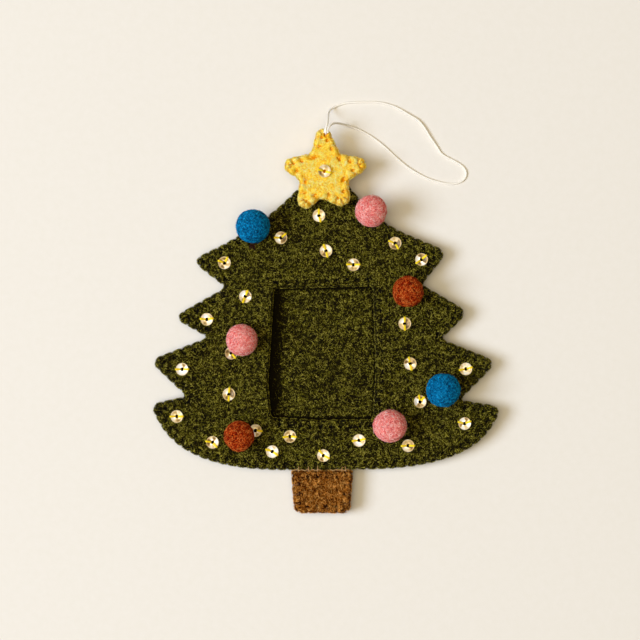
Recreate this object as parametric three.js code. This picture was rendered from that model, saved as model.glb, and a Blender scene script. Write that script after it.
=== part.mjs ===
// A felt Christmas tree ornament with a photo window, lying on its back.
// Millimetres. +X to the right, +Y from the trunk to the star, +Z out of the front face.
// The origin is under the middle of the outline, on the surface that the back rests on.
import * as THREE from 'three';

// Tree panels
const TREE_WIDTH = 136;
const TREE_HEIGHT = 121.4;
const FELT_THICKNESS = 4;
const TIP_ROUND = 5.4;
const NOTCH_ROUND = 2.2;
const SHOULDER_ROUND = 12;
const SKIRT_ROUND = 45;

// Photo window
const WINDOW_WIDTH = 42;
const WINDOW_HEIGHT = 52.6;
const WINDOW_OFFSET = 1.1;
const WINDOW_SILL_HEIGHT = 19.9;
const WINDOW_CORNER_ROUND = 1.2;

// Star
const STAR_RADIUS = 16.4;
const STAR_FELT_THICKNESS = 2.2;
const STAR_CROWN = 0.5;
const STAR_TIP_WIDTH = 4.6;
const STAR_TIP_ROUND = 2.3;
const STAR_INNER_ROUND = 1.6;
const STAR_OFFSET = 0.4;
const STAR_DROP = 4;

// Trunk
const TRUNK_TOP_WIDTH = 24.3;
const TRUNK_FOOT_WIDTH = 21.9;
const TRUNK_HEIGHT = 16.8;
const TRUNK_OFFSET = 1.3;
const TRUNK_TOP_ROUND = 0.8;
const TRUNK_FOOT_ROUND = 3;

// Balls, sequins and hanging cord
const BALL_DIAMETER = 12.6;
const BALL_FLAT_DEPTH = 0.5;
const SEQUIN_DIAMETER = 5;
const SEQUIN_HOLE_DIAMETER = 1;
const SEQUIN_CUP_DEPTH = 0.75;
const SEQUIN_SHEET = 0.2;
const CORD_DIAMETER = 0.8;
const BALL_TO_STAR_GAP = 1.7;

// Sewing: where the thread draws the felt's edge in, and how the edge is rounded between
const STITCH_PITCH = 3.95;
const STAR_STITCH_PITCH = 3.6;
const STITCH_DRAW = 0.4;
const STITCH_SINK = 0.7;
const EDGE_ROUND = 1.3;
const SEAM_TUCK = 0.4;
const SEAT_GAP = 0.3;

// Counts
const POINTS_PER_STITCH = 3;
const BALL_SEGMENTS = 14;
const BALL_RINGS = 9;
const SEQUIN_FACETS = 12;
const CORD_SIDES = 8;
const CORD_STEPS = 66;

// A fillet takes at most this share of the straight edge beside it.
const filletShare = 0.45;
const skirtFilletShare = 0.7;
const skirtTipFilletShare = 0.3;
const footFilletShare = 0.2;

// Where the rounded edge of a layer bulges most, as a share of its thickness, and how far its
// shoulder is drawn back and down, as shares of the edge's rounding.
const bulgeShare = 0.42;
const shoulderInsetShare = 0.28;
const shoulderDropShare = 0.4;
// The raised middle of the star, as a share of its outline.
const crownShare = 0.5;
// The strip beside the window's open edge that no stitch draws in, as a share of its width.
const openEdgeShare = 0.06;
// A rounded edge takes at most this share of the room that a narrow tip leaves.
const insetShare = 0.75;

// Heights of the layers above the table
const frontLayerBase = FELT_THICKNESS + SEAT_GAP;
const treeFace = frontLayerBase + FELT_THICKNESS;
const starBase = treeFace + SEAT_GAP;
const starFrontBase = starBase + STAR_FELT_THICKNESS + SEAT_GAP;
const starFace = starFrontBase + STAR_FELT_THICKNESS;

// The window's rims, and the star's middle a little below the tree's top
const windowLeft = -WINDOW_OFFSET - WINDOW_WIDTH / 2;
const windowRight = windowLeft + WINDOW_WIDTH;
const windowHead = WINDOW_SILL_HEIGHT + WINDOW_HEIGHT;
const starCentre = new THREE.Vector2(-STAR_OFFSET, TREE_HEIGHT - STAR_DROP);

// Stretches of felt that hold decorations, each with a place in it from shares across and up: the
// whole tree, the felt over and under the window, and the felt on either side of it.
const zones = {
  tree: (across, up) => new THREE.Vector2(across * TREE_WIDTH / 2, up * TREE_HEIGHT),
  over: (across, up) => new THREE.Vector2(
    -WINDOW_OFFSET + across * WINDOW_WIDTH / 2,
    windowHead + up * (starNotch() - SEQUIN_DIAMETER / 2 - windowHead),
  ),
  under: (across, up) => new THREE.Vector2(
    -WINDOW_OFFSET + across * WINDOW_WIDTH / 2,
    up * WINDOW_SILL_HEIGHT,
  ),
  left: (across, up) => new THREE.Vector2(
    windowLeft - across * (TREE_WIDTH / 2 + windowLeft),
    up * TREE_HEIGHT,
  ),
  right: (across, up) => new THREE.Vector2(
    windowRight + across * (TREE_WIDTH / 2 - windowRight),
    up * TREE_HEIGHT,
  ),
};

// Corners of the tree, clockwise from the top: across as a share of half the width, up as a share of
// the height, then the rounding and the share of each edge that it may take.
const treeCornerShares = [
  [0, 1.012, SHOULDER_ROUND, filletShare],
  [0.317, 0.801, SHOULDER_ROUND, filletShare],
  [0.712, 0.7095, TIP_ROUND, filletShare],
  [0.557, 0.602, NOTCH_ROUND, filletShare],
  [0.833, 0.5125, TIP_ROUND, filletShare],
  [0.669, 0.425, NOTCH_ROUND, filletShare],
  [0.998, 0.3505, TIP_ROUND, filletShare],
  [0.777, 0.2255, NOTCH_ROUND, filletShare],
  [1.03, 0.2025, TIP_ROUND, skirtTipFilletShare],
  [0.821, 0.006, SKIRT_ROUND, skirtFilletShare],
  [-0.005, 0, SHOULDER_ROUND, footFilletShare],
  [-0.806, -0.001, SKIRT_ROUND, skirtFilletShare],
  [-1.023, 0.211, TIP_ROUND, skirtTipFilletShare],
  [-0.803, 0.238, NOTCH_ROUND, filletShare],
  [-1.024, 0.3545, TIP_ROUND, filletShare],
  [-0.679, 0.43, NOTCH_ROUND, filletShare],
  [-0.886, 0.4955, TIP_ROUND, filletShare],
  [-0.576, 0.593, NOTCH_ROUND, filletShare],
  [-0.7785, 0.6805, TIP_ROUND, filletShare],
  [-0.498, 0.758, SHOULDER_ROUND, filletShare],
  [-0.24, 0.863, SHOULDER_ROUND, filletShare],
];

// The star's arms and the corners between them: direction in degrees from +X, and distance from its
// centre as a share of its radius. It is cut by hand, so no two are alike.
const starArmShares = [
  [92.3, 1.027],
  [10.5, 1.014],
  [-56.6, 0.941],
  [-122.4, 1.014],
  [169.9, 0.971],
];
const starInnerShares = [
  [48.2, 0.575],
  [-20.2, 0.622],
  [-96.9, 0.645],
  [-161.2, 0.635],
  [125.9, 0.548],
];

// Corners of the window, counterclockwise from the left of its sill: across from its middle as a
// share of half its width, up as a share of its height. It is cut by hand and leans a little.
const windowCornerShares = [
  [-0.967, 0.015],
  [-0.09, -0.006],
  [0.938, 0],
  [1, 0.36],
  [0.943, 1],
  [-0.919, 0.98],
  [-0.962, 0.7],
  [-1.03, 0.27],
];

const blueWool = { color: 0x0a73ab, roughness: 0.95, metalness: 0 };
const pinkWool = { color: 0xdf7b88, roughness: 0.95, metalness: 0 };
const rustWool = { color: 0xa83c15, roughness: 0.95, metalness: 0 };
const greenFelt = { color: 0x3b4018, roughness: 1, metalness: 0 };
const yellowFelt = { color: 0xeec03a, roughness: 1, metalness: 0 };
const brownFelt = { color: 0x70431c, roughness: 1, metalness: 0 };
const sequinFoil = { color: 0xe6d3a8, roughness: 0.25, metalness: 0.8 };
const cordYarn = { color: 0xece6da, roughness: 0.9, metalness: 0 };

// Balls: the zone that each is in and its shares across and up, or the star's arm that it lies beside
// and in which direction from the arm's end, in degrees. Then the diameter as a share of the usual one.
const ballShares = [
  { name: 'ball_blue_upper', finish: blueWool, zone: 'tree', across: -0.4175, up: 0.789, size: 1.05 },
  { name: 'ball_blue_lower', finish: blueWool, zone: 'tree', across: 0.679, up: 0.261, size: 1.05 },
  { name: 'ball_pink_upper', finish: pinkWool, arm: 2, direction: -16, size: 0.985 },
  { name: 'ball_pink_left', finish: pinkWool, zone: 'left', across: 0.231, up: 0.422, size: 0.98 },
  { name: 'ball_pink_lower', finish: pinkWool, zone: 'under', across: 1.257, up: 0.885, size: 1.04 },
  { name: 'ball_rust_right', finish: rustWool, zone: 'right', across: 0.257, up: 0.578, size: 0.955 },
  { name: 'ball_rust_left', finish: rustWool, zone: 'tree', across: -0.498, up: 0.112, size: 0.93 },
];

// Sequins on the open felt: the zone that each is in and its shares across and up.
const sequinShares = [
  ['over', -0.071, 0.868],
  ['over', -0.783, 0.594],
  ['over', 0.062, 0.434],
  ['over', 0.577, 0.262],
  ['tree', -0.585, 0.672],
  ['tree', 0.403, 0.736],
  ['tree', 0.556, 0.683],
  ['left', 0.206, 0.563],
  ['left', 0.536, 0.489],
  ['right', 0.235, 0.475],
  ['tree', -0.83, 0.327],
  ['left', 0.347, 0.246],
  ['tree', -0.861, 0.174],
  ['right', 0.28, 0.345],
  ['tree', 0.813, 0.328],
  ['right', 0.361, 0.222],
  ['tree', 0.806, 0.151],
  ['tree', -0.654, 0.09],
  ['under', -0.945, 0.366],
  ['under', -0.615, 0.665],
  ['under', 0.014, 0.287],
  ['under', 0.681, 0.586],
  ['tree', 0.478, 0.079],
];

// Sequins half hidden by a ball: which one, and the direction in degrees from the ball's middle.
const tuckedSequins = [
  { ball: 'ball_pink_left', direction: -130.2 },
  { ball: 'ball_rust_left', direction: 17.4 },
];

// The hanging cord's route, from where it is sewn into the star's tip, over the edge, round the loop
// on the table and back.
const cordRoute = [
  [-0.47, 73.8, 13.5],
  [-0.12, 75.05, 13.5],
  [0.5, 76.5, 13.1],
  [0.87, 78.4, 11.2],
  [1, 80.6, 7.6],
  [1.25, 82.5, 4.2],
  [2.2, 84, 1.9],
  [3.9, 85.2, 0.8],
  [6.4, 86.2, 0.45],
  [10.3, 86.9, 0.45],
  [19.9, 87, 0.45],
  [25, 86.05, 0.5],
  [29, 84.5, 0.6],
  [33.4, 81.9, 0.8],
  [36.9, 79.7, 0.9],
  [39.3, 76.9, 0.9],
  [41.6, 73.2, 0.8],
  [44.2, 69.4, 0.6],
  [46.6, 66.2, 0.45],
  [51.3, 63.6, 0.45],
  [54.3, 61.7, 0.45],
  [55.8, 59.5, 0.45],
  [55.5, 57, 0.45],
  [53.1, 55.1, 0.45],
  [49.2, 54.5, 0.45],
  [44.6, 55.4, 0.45],
  [39.3, 57.3, 0.45],
  [33.4, 60.7, 0.45],
  [29, 64.2, 0.45],
  [23.4, 69.4, 0.45],
  [18.4, 73.2, 0.45],
  [14.2, 75.6, 0.5],
  [11, 76.95, 1],
  [8.3, 77.75, 2.8],
  [6, 78.05, 6],
  [4.2, 78, 9.2],
  [2.7, 77.5, 11.8],
  [1.4, 76.2, 13.3],
  [0.95, 74.9, 13.55],
  [0.9, 73.8, 13.5],
];

// The point a given length from one point towards another.
function towards(from, to, length) {
  return from.clone().add(to.clone().sub(from).setLength(length));
}

// A closed shape through corners, each rounded by a curve that starts and ends on its two edges.
function roundedShape(corners) {
  const shape = new THREE.Shape();
  corners.forEach((corner, i) => {
    const before = corners.at(i - 1).point;
    const after = corners[(i + 1) % corners.length].point;
    const cutBefore = Math.min(corner.round, corner.reach * corner.point.distanceTo(before));
    const cutAfter = Math.min(corner.round, corner.reach * corner.point.distanceTo(after));
    const start = towards(corner.point, before, cutBefore);
    const end = towards(corner.point, after, cutAfter);
    if (i === 0) {
      shape.moveTo(start.x, start.y);
    } else {
      shape.lineTo(start.x, start.y);
    }
    shape.quadraticCurveTo(corner.point.x, corner.point.y, end.x, end.y);
  });
  shape.closePath();
  return shape;
}

function corner(x, y, round, reach = filletShare) {
  return { point: new THREE.Vector2(x, y), round, reach };
}

function polar(degrees, distance) {
  const angle = THREE.MathUtils.degToRad(degrees);
  return new THREE.Vector2(distance * Math.cos(angle), distance * Math.sin(angle));
}

// Points evenly spaced along a shape, a whole number of stitches, counterclockwise.
function stitchPoints(shape, pitch) {
  const stitches = Math.round(shape.getLength() / pitch);
  const loop = shape.getSpacedPoints(stitches * POINTS_PER_STITCH).slice(0, -1);
  if (THREE.ShapeUtils.isClockWise(loop)) {
    loop.reverse();
  }
  return loop;
}

// Unit vectors into the felt from a counterclockwise outline.
function inwardDirections(loop) {
  return loop.map((point, i) => {
    const before = loop.at(i - 1);
    const after = loop[(i + 1) % loop.length];
    const along = after.clone().sub(before).normalize();
    return new THREE.Vector2(-along.y, along.x);
  });
}

// How far each point of an outline has room to move into the felt: the radius of the largest circle
// that touches the outline there from inside.
function insetRoom(loop, inward) {
  return loop.map((point, i) => {
    const radii = loop.map((other) => {
      const chord = other.clone().sub(point);
      const depth = chord.dot(inward[i]);
      return depth > 0 ? chord.lengthSq() / (2 * depth) : Infinity;
    });
    return Math.min(...radii);
  });
}

// The rings of one felt layer's edge, from its seam to its face. Between stitches the edge bulges,
// and at each stitch the thread draws it in and sinks its shoulder.
function edgeRings(loop, thickness, inward, isSewn) {
  const room = insetRoom(loop, inward);
  const profile = [
    { inset: SEAM_TUCK, height: 0, sink: 0 },
    { inset: 0, height: thickness * bulgeShare, sink: 0 },
    {
      inset: EDGE_ROUND * shoulderInsetShare,
      height: thickness - EDGE_ROUND * shoulderDropShare,
      sink: STITCH_SINK,
    },
    { inset: EDGE_ROUND, height: thickness, sink: 0 },
  ];
  return profile.map(({ inset, height, sink }) => loop.map((point, i) => {
    const sewn = i % POINTS_PER_STITCH === 0 && isSewn(point);
    const shift = Math.min(inset + (sewn ? STITCH_DRAW : 0), insetShare * room[i]);
    const moved = point.clone().addScaledVector(inward[i], shift);
    return new THREE.Vector3(moved.x, moved.y, height - (sewn ? sink : 0));
  }));
}

// One felt layer: an outline, and maybe a window, whose edge rings are joined by bands and closed by
// two flat faces. A layer that faces down is the same turned over in height.
function feltLayer({ outline, window = null, thickness, crown = 0, facesDown = false, sewnRim }) {
  const outer = edgeRings(outline, thickness - crown, inwardDirections(outline), () => true);
  const loops = [outer];
  if (window) {
    const outward = inwardDirections(window).map((direction) => direction.negate());
    const rings = edgeRings(window, thickness, outward, sewnRim);
    loops.push(rings.map((ring) => ring.slice().reverse()));
  }
  if (crown > 0) {
    outer.push(outer.at(-1).map(({ x, y }) => (
      new THREE.Vector3(x * crownShare, y * crownShare, thickness))));
  }
  if (facesDown) {
    for (const rings of loops) {
      rings.reverse();
      rings.flat().forEach((vertex) => {
        vertex.z = thickness - vertex.z;
      });
    }
  }
  return closedStack(loops);
}

// A closed solid from loops of stacked rings: the first loop is the outside, counterclockwise, and
// any other is a hole, clockwise.
function closedStack(loops) {
  const vertices = [];
  const triangles = [];
  const ringStarts = loops.map((rings) => rings.map((ring) => {
    const start = vertices.length;
    vertices.push(...ring);
    return start;
  }));
  loops.forEach((rings, l) => {
    const count = rings[0].length;
    for (let k = 0; k + 1 < rings.length; k += 1) {
      for (let i = 0; i < count; i += 1) {
        const j = (i + 1) % count;
        const low = ringStarts[l][k];
        const high = ringStarts[l][k + 1];
        triangles.push([low + i, low + j, high + j], [low + i, high + j, high + i]);
      }
    }
  });
  const capWith = (pick, flip) => {
    const edges = loops.map((rings) => rings.at(pick).map(({ x, y }) => new THREE.Vector2(x, y)));
    const index = loops.flatMap((rings, l) => (
      rings.at(pick).map((vertex, i) => ringStarts[l].at(pick) + i)));
    const faces = THREE.ShapeUtils.triangulateShape(edges[0], edges.slice(1));
    faces.forEach((face) => {
      const [a, b, c] = face.map((place) => index[place]);
      triangles.push(flip ? [a, c, b] : [a, b, c]);
    });
  };
  capWith(0, true);
  capWith(-1, false);
  const geometry = new THREE.BufferGeometry().setFromPoints(vertices);
  geometry.setIndex(triangles.flat());
  geometry.computeVertexNormals();
  return geometry;
}

function piece(name, geometry, finish, x = 0, y = 0, z = 0) {
  const mesh = new THREE.Mesh(geometry, new THREE.MeshStandardMaterial(finish));
  mesh.name = name;
  mesh.position.set(x, y, z);
  return mesh;
}

// Both tree panels share one outline. The front one has the window, sewn on three sides.
function treePanels() {
  const corners = treeCornerShares.map(([across, up, round, reach]) => (
    corner(across * TREE_WIDTH / 2, up * TREE_HEIGHT, round, reach)));
  const outline = stitchPoints(roundedShape(corners), STITCH_PITCH);
  const windowCorners = windowCornerShares.map(([across, up]) => corner(
    -WINDOW_OFFSET + across * WINDOW_WIDTH / 2,
    WINDOW_SILL_HEIGHT + up * WINDOW_HEIGHT,
    WINDOW_CORNER_ROUND,
  ));
  const window = stitchPoints(roundedShape(windowCorners), STITCH_PITCH);
  const sewnRim = (point) => point.x > windowLeft + openEdgeShare * WINDOW_WIDTH;
  const back = feltLayer({ outline, thickness: FELT_THICKNESS, facesDown: true });
  const front = feltLayer({ outline, window, thickness: FELT_THICKNESS, sewnRim });
  return [
    piece('tree_back_panel', back, greenFelt),
    piece('tree_front_panel', front, greenFelt, 0, 0, frontLayerBase),
  ];
}

// The height of the notch between the star's two lower arms.
function starNotch() {
  const [degrees, reach] = starInnerShares[2];
  return starCentre.y + polar(degrees, reach * STAR_RADIUS).y;
}

// The end of one of the star's arms, measured from the star's middle.
function armEnd(arm) {
  const [degrees, reach] = starArmShares[arm];
  return polar(degrees, reach * STAR_RADIUS);
}

// The star: five blunt arms, two layers, the front one crowned in the middle.
function star() {
  const corners = starArmShares.flatMap(([degrees], i) => {
    const end = armEnd(i);
    const side = polar(degrees + 90, STAR_TIP_WIDTH / 2);
    const first = end.clone().add(side);
    const second = end.clone().sub(side);
    const [innerDegrees, innerReach] = starInnerShares[i];
    const inner = polar(innerDegrees, innerReach * STAR_RADIUS);
    return [
      corner(first.x, first.y, STAR_TIP_ROUND),
      corner(second.x, second.y, STAR_TIP_ROUND),
      corner(inner.x, inner.y, STAR_INNER_ROUND),
    ];
  });
  const outline = stitchPoints(roundedShape(corners), STAR_STITCH_PITCH);
  const layer = { outline, thickness: STAR_FELT_THICKNESS };
  const group = new THREE.Group();
  group.position.set(starCentre.x, starCentre.y, 0);
  group.add(
    piece('star_back', feltLayer({ ...layer, facesDown: true }), yellowFelt, 0, 0, starBase),
    piece('star_front', feltLayer({ ...layer, crown: STAR_CROWN }), yellowFelt, 0, 0, starFrontBase),
    piece('star_sequin', sequinCup(), sequinFoil, 0, 0, starFace + SEAT_GAP),
  );
  return group;
}

// The trunk: two layers, sewn edge to edge to the tree's lower edge.
function trunk() {
  const outline = stitchPoints(roundedShape([
    corner(-TRUNK_TOP_WIDTH / 2, -SEAT_GAP, TRUNK_TOP_ROUND),
    corner(TRUNK_TOP_WIDTH / 2, -SEAT_GAP, TRUNK_TOP_ROUND),
    corner(TRUNK_FOOT_WIDTH / 2, -SEAT_GAP - TRUNK_HEIGHT, TRUNK_FOOT_ROUND),
    corner(-TRUNK_FOOT_WIDTH / 2, -SEAT_GAP - TRUNK_HEIGHT, TRUNK_FOOT_ROUND),
  ]), STITCH_PITCH);
  const layer = { outline, thickness: FELT_THICKNESS };
  const group = new THREE.Group();
  group.position.x = -TRUNK_OFFSET;
  group.add(
    piece('trunk_back', feltLayer({ ...layer, facesDown: true }), brownFelt),
    piece('trunk_front', feltLayer(layer), brownFelt, 0, 0, frontLayerBase),
  );
  return group;
}

// A wool ball, pressed flat where it is sewn down. Its base is at zero height.
function feltBall(radius) {
  const start = Math.acos(1 - BALL_FLAT_DEPTH / radius);
  const profile = [new THREE.Vector2(0, 0)];
  for (let k = 0; k < BALL_RINGS; k += 1) {
    const angle = start + (Math.PI - start) * (k / BALL_RINGS);
    const height = radius - BALL_FLAT_DEPTH - radius * Math.cos(angle);
    profile.push(new THREE.Vector2(radius * Math.sin(angle), height));
  }
  profile.push(new THREE.Vector2(0, radius * 2 - BALL_FLAT_DEPTH));
  return new THREE.LatheGeometry(profile, BALL_SEGMENTS).rotateX(Math.PI / 2);
}

// A faceted cup sequin with its hole at the bottom of the cup.
function sequinCup() {
  const hole = SEQUIN_HOLE_DIAMETER / 2;
  const rim = SEQUIN_DIAMETER / 2;
  const profile = [
    new THREE.Vector2(hole, 0),
    new THREE.Vector2(rim, SEQUIN_CUP_DEPTH),
    new THREE.Vector2(rim, SEQUIN_CUP_DEPTH + SEQUIN_SHEET),
    new THREE.Vector2(hole, SEQUIN_SHEET),
    new THREE.Vector2(hole, 0),
  ];
  return new THREE.LatheGeometry(profile, SEQUIN_FACETS).rotateX(Math.PI / 2);
}

// How far from a ball's middle a sequin lies whose rim tucks in under the ball's curve.
function tuckDistance(radius) {
  const rimTop = SEQUIN_CUP_DEPTH + SEQUIN_SHEET;
  const below = radius - BALL_FLAT_DEPTH - rimTop;
  const reach = Math.sqrt(radius * radius - below * below);
  return reach + SEAT_GAP + SEQUIN_DIAMETER / 2;
}

// Where a ball is sewn down: beside an arm of the star, or in its zone.
function ballPlace({ zone, across, up, arm, direction, size }) {
  if (arm !== undefined) {
    const distance = STAR_TIP_WIDTH / 2 + BALL_TO_STAR_GAP + size * BALL_DIAMETER / 2;
    return armEnd(arm).add(starCentre).add(polar(direction, distance));
  }
  return zones[zone](across, up);
}

// Balls and sequins, each resting on the tree's face.
function decorations() {
  const seat = treeFace + SEAT_GAP;
  const balls = ballShares.map((ball) => {
    const { x, y } = ballPlace(ball);
    return piece(ball.name, feltBall(ball.size * BALL_DIAMETER / 2), ball.finish, x, y, seat);
  });
  const tucked = tuckedSequins.map(({ ball, direction }) => {
    const holder = ballShares.find(({ name }) => name === ball);
    const distance = tuckDistance(holder.size * BALL_DIAMETER / 2);
    return ballPlace(holder).add(polar(direction, distance));
  });
  const open = sequinShares.map(([zone, across, up]) => zones[zone](across, up));
  const sequins = [...open, ...tucked].map(({ x, y }, i) => {
    const number = String(i + 1).padStart(2, '0');
    return piece(`sequin_${number}`, sequinCup(), sequinFoil, x, y, seat);
  });
  return [...balls, ...sequins];
}

// The cord: a tube along its route.
function hangingCord() {
  const section = new THREE.Shape();
  for (let k = 0; k < CORD_SIDES; k += 1) {
    const { x, y } = polar((k + 0.5) * 360 / CORD_SIDES, CORD_DIAMETER / 2);
    if (k === 0) {
      section.moveTo(x, y);
    } else {
      section.lineTo(x, y);
    }
  }
  section.closePath();
  const route = new THREE.CatmullRomCurve3(cordRoute.map((point) => new THREE.Vector3(...point)));
  const geometry = new THREE.ExtrudeGeometry(section, { steps: CORD_STEPS, extrudePath: route });
  return piece('hanging_cord', geometry, cordYarn);
}

// The tree stands with its lower edge at zero, so the whole is moved until its middle is there.
const trunkReach = TRUNK_HEIGHT + SEAT_GAP;
const starReach = starCentre.y + starArmShares[0][1] * STAR_RADIUS;
const body = new THREE.Group();
body.position.y = (trunkReach - starReach) / 2;
body.add(...treePanels(), trunk(), star(), ...decorations());

const ornament = new THREE.Group();
ornament.add(body, hangingCord());

export default ornament;
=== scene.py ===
"""The looks of a felt Christmas tree ornament that lies on its back on a pale table.

The sums are in millimetres and the scene is in metres, with +X to the right, +Y from the trunk to
the star and +Z out of the ornament's face.
"""

import itertools
import logging
from collections.abc import Callable
from dataclasses import dataclass, field, replace
from enum import Enum

import bmesh
import bpy
import numpy as np
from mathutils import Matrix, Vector
from mathutils.geometry import delaunay_2d_cdt


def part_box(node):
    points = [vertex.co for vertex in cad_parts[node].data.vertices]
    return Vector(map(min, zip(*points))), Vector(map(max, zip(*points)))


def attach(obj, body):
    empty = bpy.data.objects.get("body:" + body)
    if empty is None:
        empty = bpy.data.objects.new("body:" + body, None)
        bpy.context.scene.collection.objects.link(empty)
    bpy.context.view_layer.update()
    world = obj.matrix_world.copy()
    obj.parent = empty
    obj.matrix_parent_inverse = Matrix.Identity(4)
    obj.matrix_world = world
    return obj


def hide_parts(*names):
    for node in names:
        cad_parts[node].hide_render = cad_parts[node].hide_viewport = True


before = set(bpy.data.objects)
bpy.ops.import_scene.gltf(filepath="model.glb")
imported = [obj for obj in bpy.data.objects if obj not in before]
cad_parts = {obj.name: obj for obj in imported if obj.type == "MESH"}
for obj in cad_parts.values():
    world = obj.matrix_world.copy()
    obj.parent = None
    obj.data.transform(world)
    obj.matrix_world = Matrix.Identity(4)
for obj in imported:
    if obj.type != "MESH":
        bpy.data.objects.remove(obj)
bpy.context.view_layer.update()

log = logging.getLogger("ornament")

MM = 0.001


class Facing(Enum):
    """Which way the sewn face of a felt layer looks."""

    UP = 1
    DOWN = -1


def soft_noise(points: np.ndarray, size: float, seed: int) -> np.ndarray:
    """Smooth random values from -1 to 1.

    Random numbers stand at the corners of a lattice of cubes, and a point takes the blend of its
    cube's eight corners with smoothstep weights.

    Args:
        points: Places, one row of three each.
        size: Edge of a cube, in the points' own unit.
        seed: Which random numbers.

    Returns:
        One value for each point.
    """
    table = np.random.default_rng(seed).uniform(-1, 1, (32, 32, 32))
    scaled = points / size
    cell = np.floor(scaled).astype(int)
    part = scaled - cell
    weight = part * part * (3 - 2 * part)
    value = np.zeros(len(points))
    for corner in itertools.product((0, 1), repeat=3):
        share = np.prod(np.where(corner, weight, 1 - weight), axis=1)
        value += share * table[tuple(((cell + corner) % 32).T)]
    return value


def unit(vectors: np.ndarray) -> np.ndarray:
    """Each row scaled to length one."""
    return vectors / np.maximum(np.linalg.norm(vectors, axis=-1, keepdims=True), 1e-12)


def smoothstep(low: float, high: float, value: np.ndarray) -> np.ndarray:
    """The smooth rise from 0 at low to 1 at high."""
    share = np.clip((value - low) / (high - low), 0, 1)
    return share * share * (3 - 2 * share)


def upright(flat: np.ndarray, height: np.ndarray | float) -> np.ndarray:
    """Points in the plane with a height added to each."""
    return np.column_stack([flat, np.broadcast_to(height, len(flat))])


def raised(flat: np.ndarray, height: np.ndarray) -> np.ndarray:
    """Paths in the plane, all taken to the same heights.

    Args:
        flat: Their points in the plane: paths, points, two.
        height: The height of each point along a path.

    Returns:
        Points: paths, points, three.
    """
    return np.concatenate([flat, np.broadcast_to(height[None, :, None], (*flat.shape[:2], 1))], axis=2)


def spline(held: np.ndarray, parts: int) -> np.ndarray:
    """The Catmull-Rom cubic of each four neighbours, without the last point.

    Args:
        held: The points in order, with one more before the first stretch and one after the last.
        parts: How many points each stretch gets.

    Returns:
        The curve's points, stretch after stretch.
    """
    share = (np.arange(parts) / parts)[None, :, None]
    before, here, after, beyond = (held[k : len(held) - 3 + k, None] for k in range(4))
    curve = 0.5 * (
        2 * here
        + (after - before) * share
        + (2 * before - 5 * here + 4 * after - beyond) * share**2
        + (3 * here - before - 3 * after + beyond) * share**3
    )
    return curve.reshape(-1, held.shape[1])


def closed_curve(points: np.ndarray, parts: int) -> np.ndarray:
    """A smooth closed curve through points, with so many points for each one given."""
    return spline(np.vstack([points[-1:], points, points[:2]]), parts)


def open_curve(points: np.ndarray, count: int) -> np.ndarray:
    """Evenly spaced points on the smooth curve through the points given.

    Args:
        points: What the curve goes through, in order.
        count: How many points to take, both ends among them.

    Returns:
        The points.
    """
    held = np.vstack([2 * points[0] - points[1], points, 2 * points[-1] - points[-2]])
    fine = np.vstack([spline(held, 40), points[-1:]])
    along = np.concatenate([[0], np.cumsum(np.linalg.norm(np.diff(fine, axis=0), axis=1))])
    at = np.linspace(0, along[-1], count)
    return np.stack([np.interp(at, along, fine[:, k]) for k in range(3)], axis=1)


def grid_quads(rows: int, columns: int, around: bool = True) -> np.ndarray:
    """The four-sided faces between the points of a grid kept row by row.

    Args:
        rows: How many rows of points.
        columns: How many points in a row.
        around: Whether the last column joins the first.

    Returns:
        Four point numbers for each face.
    """
    row, column = np.meshgrid(
        np.arange(rows - 1), np.arange(columns if around else columns - 1), indexing="ij"
    )
    beside = (column + 1) % columns
    low, high = row * columns, (row + 1) * columns
    quads = np.stack([low + column, low + beside, high + beside, high + column], axis=-1)
    return quads.reshape(-1, 4)


@dataclass
class Surface:
    """Points and faces joined from several shapes, with a tint from 0, dark, to 1, light."""

    points: list = field(default_factory=list)
    faces: list = field(default_factory=list)
    tints: list = field(default_factory=list)
    face_tints: list = field(default_factory=list)
    count: int = 0

    def add(self, points: np.ndarray, blocks: list[np.ndarray], tint: np.ndarray | float = 0.5) -> None:
        """Adds one shape.

        Args:
            points: Its points, in millimetres.
            blocks: Tables of faces, each with three or four point numbers to a row.
            tint: For all its points, for each of them, or for each of its faces.
        """
        self.points.append(points)
        for block in blocks:
            self.faces.extend((block + self.count).tolist())
        if np.ndim(tint) == 1 and len(tint) == sum(map(len, blocks)) != len(points):
            self.face_tints.append(tint)
        else:
            self.tints.append(np.broadcast_to(tint, len(points)))
        self.count += len(points)

    def build(self, name: str, material: bpy.types.Material, smooth: bool = True) -> bpy.types.Object:
        """Makes the Blender object.

        Args:
            name: The piece's name.
            material: Its finish.
            smooth: Whether light runs smoothly over its faces.

        Returns:
            The new object, at the origin.
        """
        data = bpy.data.meshes.new(name)
        data.from_pydata((np.vstack(self.points) * MM).tolist(), [], self.faces)
        domain, tints = ("FACE", self.face_tints) if self.face_tints else ("POINT", self.tints)
        layer = data.attributes.new("tint", "FLOAT", domain)
        layer.data.foreach_set("value", np.concatenate(tints).astype(np.float32))
        data.polygons.foreach_set("use_smooth", np.full(len(data.polygons), smooth))
        data.materials.append(material)
        data.update()
        return into_scene(name, data)


def into_scene(name: str, data: bpy.types.ID) -> bpy.types.Object:
    """A new object in the scene that shows a mesh, a lamp or a camera."""
    made = bpy.data.objects.new(name, data)
    bpy.context.scene.collection.objects.link(made)
    return made


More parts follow.
